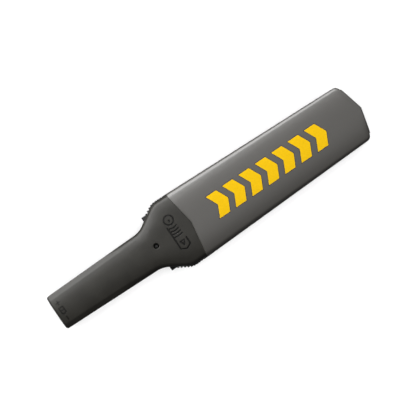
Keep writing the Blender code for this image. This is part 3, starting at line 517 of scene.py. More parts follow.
def mirrored(row: Sequence[Vector]) -> list[Vector]:
    """A row from the +Y side to the centre line, carried on over the other side."""
    return [*row, *(Vector((point.x, -point.y, point.z)) for point in reversed(row[:-1]))]


def corners_of(made: Sequence[Corner | Edge | bmesh.types.BMFace]) -> list[Corner]:
    """The vertices among what a mesh step made."""
    return [item for item in made if isinstance(item, Corner)]


def swept(chains: Sequence[Sequence[Vector]], close: bool = False) -> Mesh:
    """A surface made by extruding a first chain of edges to the places of the others.

    Args:
        chains: Rows of points, all of one length.
        close: Whether each row is a closed loop.

    Returns:
        The surface.
    """
    shape = bmesh.new()
    row = [shape.verts.new(point) for point in chains[0]]
    pairs = list(zip(row, row[1:])) + ([(row[-1], row[0])] if close else [])
    edges = [shape.edges.new(pair) for pair in pairs]
    for chain in chains[1:]:
        order = {vert: i for i, vert in enumerate(row)}
        made = bmesh.ops.extrude_edge_only(shape, edges=edges)["geom"]
        fresh = corners_of(made)
        row = [None] * len(chain)
        for vert in fresh:
            source = next(e.other_vert(vert) for e in vert.link_edges if e.other_vert(vert) in order)
            row[order[source]] = vert
            vert.co = chain[order[source]]
        new = set(fresh)
        edges = [item for item in made if isinstance(item, Edge) and set(item.verts) <= new]
    return shape


def outward(shape: Mesh, inside: Vector) -> None:
    """Turn a surface so that its faces look away from a point inside it.

    Args:
        shape: The surface.
        inside: The point.
    """
    bmesh.ops.recalc_face_normals(shape, faces=shape.faces)

    def lean(face: bmesh.types.BMFace) -> float:
        """How much of a face looks away from the point."""
        return (face.calc_center_median() - inside).dot(face.normal) * face.calc_area()

    if sum(lean(face) for face in shape.faces) < 0:
        bmesh.ops.reverse_faces(shape, faces=shape.faces)


def bare(name: str, shape: Mesh) -> Piece:
    """An object that holds a mesh under construction.

    Args:
        name: The object's name.
        shape: Its mesh, which is used up.

    Returns:
        The object, in the scene.
    """
    mesh = bpy.data.meshes.new(name)
    shape.to_mesh(mesh)
    shape.free()
    made = bpy.data.objects.new(name, mesh)
    bpy.context.scene.collection.objects.link(made)
    return made


def smooth(piece: Piece, angle: float = 32.0) -> None:
    """Shade a piece smooth but for edges sharper than an angle in degrees."""
    piece.data.shade_smooth()
    piece.data.set_sharp_from_angle(angle=math.radians(angle))


def settle(piece: Piece) -> None:
    """Make a piece's modifiers part of its mesh.

    Args:
        piece: The piece.
    """
    bpy.context.view_layer.update()
    graph = bpy.context.evaluated_depsgraph_get()
    mesh = bpy.data.meshes.new_from_object(piece.evaluated_get(graph), depsgraph=graph)
    piece.modifiers.clear()
    old = piece.data
    piece.data = mesh
    mesh.name = piece.name
    bpy.data.meshes.remove(old)


def walled(piece: Piece, wall: float, edge: float, even: bool = True) -> None:
    """Give a surface its wall thickness, inwards, with eased rims.

    Args:
        piece: The surface, which becomes a shell.
        wall: The thickness.
        edge: The rims' easing.
        even: Whether corners keep the full thickness.
    """
    thick = piece.modifiers.new("wall", "SOLIDIFY")
    thick.thickness = wall
    thick.offset = -1
    thick.use_even_offset = even
    ease = piece.modifiers.new("ease", "BEVEL")
    ease.width = edge
    ease.segments = 2
    ease.limit_method = "ANGLE"
    ease.angle_limit = math.radians(50)
    ease.use_clamp_overlap = True
    settle(piece)


def cut(piece: Piece, tools: Sequence[Piece], how: str = "DIFFERENCE") -> None:
    """Apply Boolean steps to a piece and throw the tools away.

    Args:
        piece: The piece that changes.
        tools: Closed shapes.
        how: DIFFERENCE or UNION.
    """
    for tool in tools:
        step = piece.modifiers.new(tool.name, "BOOLEAN")
        step.object = tool
        step.operation = how
        step.solver = "EXACT"
    settle(piece)
    for tool in tools:
        bpy.data.objects.remove(tool, do_unlink=True)


def turned(
    name: str,
    profile: Sequence[Point],
    origin: Sequence[float],
    axis: Sequence[float] = (0, 0, 1),
    sides: int = 48,
) -> Piece:
    """A shape spun round an axis from a closed (radius, height) profile.

    Args:
        name: The object's name.
        profile: The profile's corners.
        origin: Where the profile's zero lies.
        axis: The direction of its height.
        sides: Steps of the spin.

    Returns:
        The object.
    """
    shape = bmesh.new()
    corners = [shape.verts.new((radius, 0, height)) for radius, height in profile]
    edges = [shape.edges.new(pair) for pair in zip(corners, corners[1:] + corners[:1])]
    bmesh.ops.spin(
        shape,
        geom=corners + edges,
        axis=(0, 0, 1),
        cent=(0, 0, 0),
        angle=2 * math.pi,
        steps=sides,
        use_merge=True,
    )
    bmesh.ops.remove_doubles(shape, verts=shape.verts, dist=0.001 * MM)
    loose = [face for face in shape.faces if face.calc_area() < 1e-12]
    bmesh.ops.delete(shape, geom=loose, context="FACES_ONLY")
    bmesh.ops.recalc_face_normals(shape, faces=shape.faces)
    turn = Vector((0, 0, 1)).rotation_difference(Vector(axis)).to_matrix().to_4x4()
    bmesh.ops.transform(shape, matrix=Matrix.Translation(origin) @ turn, verts=shape.verts)
    return bare(name, shape)


def raised(
    name: str, outline: Sequence[Point], low: float, high: float, edge: float = 0.0
) -> Piece:
    """A plan outline extruded between two heights, its edges rounded off if asked.

    Args:
        name: The object's name.
        outline: The outline's corners.
        low: The height of its lower face.
        high: The height of its upper face.
        edge: The rounding's radius.

    Returns:
        The object.
    """
    shape = bmesh.new()
    face = shape.faces.new([shape.verts.new((x, y, low)) for x, y in outline])
    made = bmesh.ops.extrude_face_region(shape, geom=[face])["geom"]
    bmesh.ops.translate(shape, verts=corners_of(made), vec=(0, 0, high - low))
    bmesh.ops.recalc_face_normals(shape, faces=shape.faces)
    if edge:
        sharp = [item for item in shape.edges if item.calc_face_angle(0) > math.radians(30)]
        bmesh.ops.bevel(shape, geom=sharp, offset=edge, segments=3, profile=0.5, affect="EDGES", material=-1)
    return bare(name, shape)


def place(
    piece: Piece, finish: Finish, body: str, nodes: Sequence[str] = (), slot: str = ""
) -> None:
    """Dress a piece and hand it to the frame.

    Args:
        piece: The finished object.
        finish: What it is made of.
        body: The body that it rides on.
        nodes: The CAD nodes that it stands for.
        slot: The record's material slot. Not used.
    """
    smooth(piece)
    piece.data.materials.clear()
    piece.data.materials.append(finish_of(finish))
    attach(piece, body)
    if nodes:
        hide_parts(*nodes)
    LOG.info("%s: %d faces on %s", piece.name, len(piece.data.polygons), body)


MADE: dict[str, bpy.types.Material] = {}


def finish_of(finish: Finish) -> bpy.types.Material:
    """The material of a finish, made once."""
    if finish.name not in MADE:
        MADE[finish.name] = finish.material()
    return MADE[finish.name]


# ---------------------------------------------------------------------------- the wand's form


class Half(Enum):
    """Which side of the parting plane a shell lies on."""

    BACK = 1
    FRONT = -1


@dataclass
class Form:
    """The outer form that the four shells share."""

    butt_x: float = CAD_BOX[0].x
    tip_x: float = CAD_BOX[1].x
    top_z: float = CAD_BOX[1].z
    parting_z: float = 24 * MM
    seam: float = 0.3 * MM
    joint_gap: float = 0.1 * MM
    wall: float = 2.4 * MM
    butt_half: float = 21.6 * MM
    root_x: float = -80 * MM
    root_half: float = 24.2 * MM
    shoulder_x: float = -49.7 * MM
    shoulder_half: float = 43.7 * MM
    shoulder_step: float = 1.6 * MM
    tip_half: float = 35.6 * MM
    tip_slope: float = 0.25
    tip_radius: float = 8 * MM
    joint_x: float = -23.7 * MM
    joint_slope: float = 0.16
    bend_start: float = -62 * MM
    edges: tuple[Point, ...] = ((-110 * MM, 6.2 * MM), (-60 * MM, 5.2 * MM), (-20 * MM, 4.6 * MM))
    front_radius: float = 5 * MM
    handle_crown: float = 3.6 * MM
    neck_crown: float = 4.6 * MM
    paddle_crown: float = 3.8 * MM
    tip_crown: float = 2.6 * MM
    handle_end: float = -110 * MM
    neck_start: float = -60 * MM
    paddle_start: float = -20 * MM
    facet: float = math.radians(30)
    butt_radius: float = 3 * MM

    def corners(self, step: float) -> list[Point]:
        """The plan outline's corners from the butt to the tip; step widens the shoulders.

        Args:
            step: How far the shoulders are widened.

        Returns:
            The corners, as (x, half width).
        """
        narrow = self.shoulder_step - step
        slope = (self.tip_half - self.shoulder_half) / (self.tip_x - self.shoulder_x)
        half = self.tip_half - narrow
        corner_x = self.tip_x - self.tip_slope * half
        return [
            (self.butt_x, self.butt_half),
            (self.root_x, self.root_half),
            (self.shoulder_x, self.shoulder_half - narrow),
            (corner_x, half - slope * (self.tip_x - corner_x)),
            (self.tip_x, 0),
        ]

    def outline(self, step: float) -> list[Point]:
        """(x, half width) points from the butt to where the tip's corner begins.

        Args:
            step: How far the shoulders are widened.

        Returns:
            The points.
        """
        butt, root, shoulder, corner, tip = self.corners(step)
        points = [butt, *fillet(butt, root, shoulder, 28 * MM, 24)]
        points += fillet(root, shoulder, corner, 18 * MM, 24)
        return [*points, fillet(shoulder, corner, tip, self.tip_radius, 1)[0]]

    def tip_arc(self, count: int = 14) -> list[Point]:
        """The rounded corner of the paddle's tip."""
        _, _, shoulder, corner, tip = self.corners(self.shoulder_step)
        return fillet(shoulder, corner, tip, self.tip_radius, count)

    def half_width(self, x: float, step: float | None = None) -> float:
        """Half the width at a place along the wand."""
        return between(x, self.outline(self.shoulder_step if step is None else step))

    def top(self, x: float) -> float:
        """The back face's height on the centre line."""
        neck = (-40 * MM, self.top_z)
        return between(x, [(self.butt_x, self.top_z - 1.5 * MM), neck, (self.tip_x, self.top_z - 2.5 * MM)])

    def bottom(self, x: float) -> float:
        """The front face's height on the centre line."""
        root = (self.root_x, 8.5 * MM)
        return between(x, [(self.butt_x, 10 * MM), root, (-15 * MM, 13 * MM), (self.tip_x, 17 * MM)])

    def drop(self, x: float, share: float) -> float:
        """How far the back face lies below its centre line.

        Args:
            x: The place along the wand.
            share: The place across it, as a share of the half width.

        Returns:
            The drop: a barrel on the handle, and a crown on the neck and paddle.
        """
        on_neck = fade(x, self.handle_end, self.neck_start)
        neck, root = (self.neck_start, self.neck_crown), (self.paddle_start, self.paddle_crown)
        bow = between(x, [neck, root, (self.tip_x, self.tip_crown)]) * on_neck
        return self.handle_crown * (1 - on_neck) * share**2 + bow * abs(share) ** 3

    def edge_turn(self, lean: float, facet: float, share: float) -> float:
        """The slope of the rounded edge, part of the way along it.

        Args:
            lean: The slope that it starts from.
            facet: How much of it is a flat facet, as on the handle.
            share: How far along it.

        Returns:
            The slope, a quarter turn at the end.
        """
        arc = lean + (math.pi / 2 - lean) * share
        onto, off = fade(share, 0, 0.08), fade(share, 0.76, 1)
        flat = lean + (self.facet - lean) * onto + (math.pi / 2 - self.facet) * off
        return arc + (flat - arc) * facet

    def surface(self, x: float, y: float) -> float:
        """The back face's height at a place that is clear of its rounded edge."""
        return self.top(x) - self.drop(x, y / self.half_width(x))

    def back_chain(self, x_mid: float, x_edge: float, half: float, inset: float = 0.0) -> list[Vector]:
        """A row of points over the back, from the +Y parting line to the -Y one.

        Args:
            x_mid: The row's place on the centre line.
            x_edge: Its place at the sides, where the row is bent to a V.
            half: Half the width.
            inset: How far an end's rounding draws the row in.

        Returns:
            The points.
        """

        def at(y: float) -> float:
            """The place along the wand of a point on the row."""
            return x_mid + (x_edge - x_mid) * y / half

        def height(y: float) -> float:
            """The back face's height at a point on the row."""
            return self.top(at(y)) - self.drop(at(y), y / (half + inset)) - inset

        width = between(x_edge, self.edges)
        start = half - width
        step = 0.2 * MM
        lean = math.atan((height(start - step) - height(start)) / step)
        facet = 1 - fade(x_edge, -135 * MM, -95 * MM)
        count = 18
        places = [(0.0, 0.0)]
        for i in range(count):
            slope = self.edge_turn(lean, facet, (i + 0.5) / count)
            places.append((places[-1][0] + math.cos(slope), places[-1][1] + math.sin(slope)))
        size = width / places[-1][0]
        edge = [(start + across * size, height(start) - down * size) for across, down in places]
        low = self.parting_z + self.seam / 2
        rows = [(half, low), (half, (low + edge[-1][1]) / 2), *reversed(edge)]
        rows += [(start * (1 - i / 22), height(start * (1 - i / 22))) for i in range(1, 23)]
        right = [Vector((at(y), y, z)) for y, z in rows]
        return mirrored(right)

    def front_chain(self, x_mid: float, x_edge: float, half: float, inset: float = 0.0) -> list[Vector]:
        """A row of points under the front, from the +Y parting line to the -Y one.

        Args:
            x_mid: The row's place on the centre line.
            x_edge: Its place at the sides.
            half: Half the width.
            inset: How far an end's rounding draws the row in.

        Returns:
            The points.
        """
        radius = self.front_radius

        def at(y: float) -> float:
            """The place along the wand of a point on the row."""
            return x_mid + (x_edge - x_mid) * y / half

        floor = self.bottom(x_mid) + inset
        rows = [(half, self.parting_z - self.seam / 2), (half, (self.parting_z + floor + radius) / 2)]
        rows += [(half - radius + radius * out, floor + radius - radius * down) for out, down in quarter(8)]
        rows += [((half - radius) * (1 - i / 12), floor) for i in range(1, 13)]
        right = [Vector((at(y), y, z)) for y, z in rows]
        return mirrored(right)

    def chain(self, half_side: Half, *place_and_size: float) -> list[Vector]:
        """A row on either side of the parting plane."""
        return (self.back_chain if half_side is Half.BACK else self.front_chain)(*place_and_size)

    def butt_rows(self, side: Half) -> list[list[Vector]]:
        """The rounded rows at the butt.

        Args:
            side: Which side of the parting plane they lie on.

        Returns:
            The rows.
        """
        rows = []
        for back, out in quarter(6):
            x = self.butt_x + self.butt_radius * (1 - back)
            inset = self.butt_radius * (1 - out)
            rows.append(self.chain(side, x, x, self.half_width(x) - inset, inset * 0.7))
        return rows

    def tip_rows(self, side: Half, rounding: float = 1.2 * MM) -> list[list[Vector]]:
        """The rows round the tip's corners and over its V edge.

        Args:
            side: Which side of the parting plane they lie on.
            rounding: The V edge's radius.

        Returns:
            The rows.
        """
        arc = self.tip_arc()
        start_x = arc[0][0]
        vertex = self.tip_x - rounding
        rows = []
        for i, (x, half) in enumerate(arc[1:]):
            share = (i + 1) / (len(arc) - 1)
            mid = start_x + (vertex - start_x) * share
            rows.append(self.chain(side, mid, x - rounding * share, half, 0.0))
        x, half = arc[-1]
        for out, on in quarter(5)[1:]:
            ahead, inset = rounding * on, rounding * (1 - out)
            rows.append(self.chain(side, vertex + ahead, x - rounding + ahead, half, inset))
        return rows

    def capped(self, shape: Mesh, at_end: bool) -> None:
        """Close one end of a swept shell with flat faces.

        Args:
            shape: The shell's surface.
            at_end: Whether the end is the tip, which has two flats, or the butt.
        """
        far = self.tip_x - 12 * MM
        near = self.butt_x + 0.05 * MM
        half_seam = self.seam / 2

        def wanted(edge: Edge) -> bool:
            """Whether an open edge lies at this end and off the parting line."""
            places = [vert.co.x for vert in edge.verts]
            here = min(places) > far if at_end else max(places) < near
            gaps = [abs(abs(vert.co.z - self.parting_z) - half_seam) for vert in edge.verts]
            return edge.is_boundary and here and max(gaps) >= 1e-7

        loop = self.ordered([edge for edge in shape.edges if wanted(edge)])
        if not at_end:
            shape.faces.new(loop)
            return
        middle = min(range(len(loop)), key=lambda i: abs(loop[i].co.y))
        foot = shape.verts.new((loop[middle].co.x, 0, loop[0].co.z))
        shape.faces.new([*loop[: middle + 1], foot])
        shape.faces.new([foot, *loop[middle:]])

    @staticmethod
    def ordered(edges: Sequence[Edge]) -> list[Corner]:
        """The vertices of an open chain of edges, in order.

        Args:
            edges: The chain's edges, in any order.

        Returns:
            The vertices.
        """
        touching: dict[Corner, list[Corner]] = {}
        for edge in edges:
            first, second = edge.verts
            touching.setdefault(first, []).append(second)
            touching.setdefault(second, []).append(first)
        start = next(vert for vert, near in touching.items() if len(near) == 1)
        walk = [start]
        while len(walk) < len(touching):
            walk.append(next(vert for vert in touching[walk[-1]] if vert not in walk[-2:]))
        return walk

    def shell(
        self,
        name: str,
        rows: Sequence[Sequence[Vector]],
        at_tip: bool,
        inside: float,
        rim: float,
        even: bool = True,
    ) -> Piece:
        """A shell with its wall, closed at one end.

        Args:
            name: The piece's name.
            rows: Its outer surface.
            at_tip: Whether its closed end is the tip, or the butt.
            inside: A place along the wand that lies inside it.
            rim: How far its rims are eased.
            even: Whether corners keep the full thickness.

        Returns:
            The shell.
        """
        shape = swept(rows)
        self.capped(shape, at_tip)
        outward(shape, Vector((inside, 0, self.parting_z)))
        made = bare(name, shape)
        walled(made, self.wall, rim, even)
        return made


FORM = Form()
PADDLE_FORM = Form(edges=((-20 * MM, 5.6 * MM), (210 * MM, 3.4 * MM)))


# ---------------------------------------------------------------------------- engraving


@dataclass(frozen=True)
class Stroke:
    """One engraved line: a straight run, or part of a ring, in plan."""

    start: Point
    end: Point = (0.0, 0.0)
    radius: float = 0.0
    sweep: Point = (0.0, 0.0)

    def distance(self, x: float, y: float) -> float:
        """How far a place in plan is from the stroke.

        Args:
            x: The place along the wand.
            y: The place across it.

        Returns:
            The distance.
        """
        if self.radius:
            dx, dy = x - self.start[0], y - self.start[1]
            turn = (math.degrees(math.atan2(dy, dx)) - self.sweep[0]) % 360
            span = self.sweep[1] - self.sweep[0]
            if turn <= span:
                return abs(math.hypot(dx, dy) - self.radius)
            turns = [math.radians(angle) for angle in self.sweep]
            ends = [(self.radius * math.cos(angle), self.radius * math.sin(angle)) for angle in turns]
            return min(math.hypot(dx - across, dy - along) for across, along in ends)
        run = Vector(self.end) - Vector(self.start)
        share = (Vector((x, y)) - Vector(self.start)).dot(run) / max(run.length_squared, 1e-12)
        return (Vector((x, y)) - Vector(self.start) - run * min(1.0, max(0.0, share))).length


def joined(points: Sequence[Point], closed: bool = False) -> list[Stroke]:
    """Strokes that run from point to point, and back to the first if closed."""
    last = points[1:] + points[:1] if closed else points[1:]
    return [Stroke(a, b) for a, b in zip(points, last)]


def engrave(
    piece: Piece, strokes: Sequence[Stroke], width: float, depth: float, cell: float, margin: float
) -> None:
    """Press rounded grooves into the outer face of a shell, and mark them for the finish to paint shade into.

    Args:
        piece: The shell.
        strokes: The grooves' centre lines.
        width: The grooves' width.
        depth: Their depth.
        cell: The mesh size that the face is divided to.
        margin: How far round the strokes it is divided.
    """
    shape = bmesh.new()
    shape.from_mesh(piece.data)

    def near(point: Vector, reach: float) -> bool:
        """Whether a point lies within reach of a stroke."""
        return min(stroke.distance(point.x, point.y) for stroke in strokes) < reach

    for _ in range(4):
        long = []
        for edge in shape.edges:
            middle = (edge.verts[0].co + edge.verts[1].co) / 2
            up = all(face.normal.z > 0.7 for face in edge.link_faces)
            if up and edge.calc_length() > cell and near(middle, margin + edge.calc_length()):
                long.append(edge)
        if not long:
            break
        bmesh.ops.subdivide_edges(shape, edges=long, cuts=1, use_grid_fill=True)
    bmesh.ops.triangulate(shape, faces=[face for face in shape.faces if len(face.verts) > 4])
    shape.normal_update()
    # The engraved layer is the mask by which the finish paints shade into the grooves.
    layer = shape.verts.layers.float.get("engraved") or shape.verts.layers.float.new("engraved")
    for vert in shape.verts:
        if vert.normal.z > 0.7 and near(vert.co, width):
            gap = min(stroke.distance(vert.co.x, vert.co.y) for stroke in strokes)
            sunk = 1 - fade(gap, width * 0.34, width * 0.54)
            vert.co.z -= depth * sunk
            vert[layer] = max(vert[layer], sunk)
    shape.to_mesh(piece.data)
    shape.free()


# ---------------------------------------------------------------------------- shells


@dataclass
class RearShell:
    """The charcoal back half of the handle and neck."""

    form: Form
    hole_radius: float = 3.2 * MM
    hole_flare: float = 0.45 * MM
    boss_radius: float = 5.2 * MM
    groove: float = 1.8 * MM
    groove_depth: float = 0.8 * MM

    def rows(self) -> list[list[Vector]]:
        """Rows of the surface from the butt to the V joint.

        Returns:
            The rows.
        """
        form = self.form
        rows = form.butt_rows(Half.BACK)
        joint_gap = form.joint_gap / 2
        edge_end = form.joint_x - joint_gap - form.joint_slope * form.half_width(form.joint_x - 7 * MM, 0)
        start = form.butt_x + form.butt_radius
        places = steps(start, -90 * MM, 3 * MM)[1:] + steps(-90 * MM, edge_end, 1.5 * MM)[1:]
        for x in places:
            share = max(0.0, (x - form.bend_start) / (edge_end - form.bend_start))
            bent = form.bend_start + share * (form.joint_x - joint_gap - form.bend_start)
            rows.append(form.back_chain(bent if share else x, x, form.half_width(x, 0)))
        return rows

    def mark(self) -> list[Stroke]:
        """The symbol on the neck: a search ring that sends out waves, and a box with an arrow in it.

        Returns:
            The strokes.
        """
        ring = (-44.2 * MM, 16.4 * MM)
        strokes = [Stroke(ring, radius=5.6 * MM, sweep=(0, 359.9)), Stroke(ring, (ring[0], ring[1] - 2 * MM))]
        for wave, spread in enumerate((26, 20, 16, 13)):
            radius = (10.2 + 3.6 * wave) * MM
            strokes.append(Stroke(ring, radius=radius, sweep=(-90 - spread, -90 + spread)))
        rule, far = -50.6 * MM, -38 * MM
        middle = (rule + far) / 2
        top, foot, shoulder, point = 9.5 * MM, -10.5 * MM, -19 * MM, -22 * MM
        box = [(rule, top), (rule, shoulder), (middle, point), (far, shoulder), (far, foot)]
        wing, back, tip = 2.6 * MM, -11.5 * MM, -16.8 * MM
        arrow = [(middle - wing, back), (middle, tip), (middle + wing, back)]
        return strokes + joined(box) + joined(arrow, closed=True)

    def small_marks(self) -> list[Stroke]:
        """Small signs at the butt for how the battery goes in: plus, cell and minus.

        Returns:
            The strokes.
        """
        x, arm = -201.6 * MM, 2.5 * MM
        plus, bar = 8.8 * MM, -0.8 * MM
        near, far, post = 3 * MM, -4.6 * MM, 1.4 * MM
        minus = (-13.4 * MM, -9.2 * MM)
        cell = rectangle(x - arm, x + arm, near, far)
        return [
            Stroke((x - arm, plus), (x + arm, plus)),
            Stroke((x, plus - arm), (x, plus + arm)),
            Stroke((x, minus[0]), (x, minus[1])),
            *joined(cell, closed=True),
            Stroke((x, far), (x, far - post)),
            Stroke((x - arm, bar), (x + arm, bar)),
        ]

    def build(self) -> None:
        """Build the shell, its screw hole and its engraving."""
        form = self.form
        shell = form.shell("rear_shell_moulding", self.rows(), False, -100 * MM, 0.15 * MM)
        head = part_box("neck_screw")
        x = (head[0].x + head[1].x) / 2
        top = form.top(x)
        seat = head[1].z - 1.8 * MM
        low = form.parting_z + 1.2 * MM
        ring = self.boss_radius
        boss = turned("boss", [(0, low), (ring, low), (ring, top - 1 * MM), (0, top - 1 * MM)], (x, 0, 0))
        cut(shell, [boss], "UNION")
        hole, flare = self.hole_radius, self.hole_flare
        bore = [(0, seat), (hole, seat), (hole, top - flare), (hole + flare * 0.3, top - flare * 0.3)]
        bore += [(hole + flare, top), (hole + flare, top + 2 * MM), (0, top + 2 * MM)]
        shank = [(0, low - 2 * MM), (1.8 * MM, low - 2 * MM), (1.8 * MM, seat + 1 * MM), (0, seat + 1 * MM)]
        cut(shell, [turned("bore", bore, (x, 0, 0), sides=64), turned("shank", shank, (x, 0, 0))])
        engrave(shell, self.mark(), self.groove, self.groove_depth, 0.3 * MM, 1.2 * MM)
        engrave(shell, self.small_marks(), 1.2 * MM, 0.5 * MM, 0.26 * MM, 0.9 * MM)
        place(shell, CHARCOAL, "root", ["rear_shell"], "charcoal_shell")


@dataclass
class PaddleCover:
    """The grey back half of the paddle, with its printed mark."""

    form: Form
    ink: float = 0.06 * MM
    chevrons: int = 7
    mark_start: float = 5.6 * MM
    mark_end: float = 161.8 * MM
    mark_half: float = 14.6 * MM

    def rows(self) -> list[list[Vector]]:
        """Rows of the surface from the V joint to the tip.

        Returns:
            The rows.
        """
        form = self.form
        reach = form.joint_slope * form.half_width(form.joint_x - 7 * MM)
        edge_start = form.joint_x + form.joint_gap / 2 - reach
        rows = []
        last = form.tip_arc()[0][0]
        for x in steps(edge_start, last, 3 * MM):
            unbend = 1 - fade(x, edge_start, 40 * MM)
            mid = x + (form.joint_x + form.joint_gap / 2 - edge_start) * unbend
            rows.append(form.back_chain(mid, x, form.half_width(x)))
        return rows + form.tip_rows(Half.BACK)

    def build_cover(self) -> None:
        """Build the moulding."""
        cover = self.form.shell("paddle_cover_moulding", self.rows(), True, 90 * MM, 0.15 * MM)
        place(cover, GREY, "root", ["paddle_cover"], "grey_cover")

    def chevron(self, x: float, width: float, reach: float, grow: float, lift: float) -> Mesh:
        """One arrow mark laid on the crowned face.

        Args:
            x: Where its upper arm starts.
            width: The mark's width along the wand.
            reach: How far its point stands ahead.
            grow: How far it is grown on all sides.
            lift: Its height over the face.

        Returns:
            The mark's mesh, 0.05 mm thick.
        """
        half = self.mark_half + grow
        rows = []
        for y in steps(-half, half, 1.2 * MM):
            lean = reach * (1 - abs(y) / self.mark_half)
            low, high = x + lean - grow, x + lean + width + grow
            rows.append([Vector((px, y, 0)) for px in steps(low, high, 1.5 * MM)])
        count = min(len(row) for row in rows)
        rows = [row[:count] for row in rows]
        shape = swept(rows)
        for vert in shape.verts:
            vert.co.z = self.form.surface(vert.co.x, vert.co.y) + lift
        thick = bmesh.ops.extrude_face_region(shape, geom=shape.faces[:])["geom"]
        bmesh.ops.translate(shape, verts=corners_of(thick), vec=(0, 0, self.ink))
        bmesh.ops.recalc_face_normals(shape, faces=shape.faces)
        return shape

    def build_mark(self) -> None:
        """Print the row of yellow arrows, each on a dark keyline."""
        reach = 7 * MM
        pitch = (self.mark_end - self.mark_start - reach) / self.chevrons
        width = pitch * 0.66
        for i in range(self.chevrons):
            x = self.mark_start + i * (pitch + (pitch - width) / (self.chevrons - 1))
            base = bare(f"keyline_{i + 1}", self.chevron(x, width, reach, 0.7 * MM, -0.03 * MM))
            place(base, KEYLINE, "root", slot="grey_cover")
            ink = bare(f"yellow_arrow_{i + 1}", self.chevron(x, width, reach, 0.0, 0.0))
            place(ink, YELLOW, "root", slot="grey_cover")

    def build(self) -> None:
        """Build the cover and its mark."""
        self.build_cover()
        self.build_mark()


BUTTON_END_X = -64.5 * MM


@dataclass(frozen=True)
class Seat:
    """Where the power slider sits on the shoulder: its foot's two ends and the ways from them."""

    near: Vector
    far: Vector
    along: Vector
    inward: Vector


def slider_seat(form: Form) -> Seat:
    """The slider's seat on the straight part of the +Y shoulder.

    Args:
        form: The wand's form.

    Returns:
        The seat.
    """
    low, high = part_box("power_slider")
    rise = (form.shoulder_half - form.root_half) / (form.shoulder_x - form.root_x)
    start = low.x + 0.22 * MM
    near = Vector((start, form.root_half + (start - form.root_x) * rise, 0))
    far = Vector((form.root_x + (high.y - form.root_half) / rise, high.y, 0))
    along = Vector((1, rise, 0)).normalized()
    return Seat(near, far, along, Vector((along.y, -along.x, 0)))


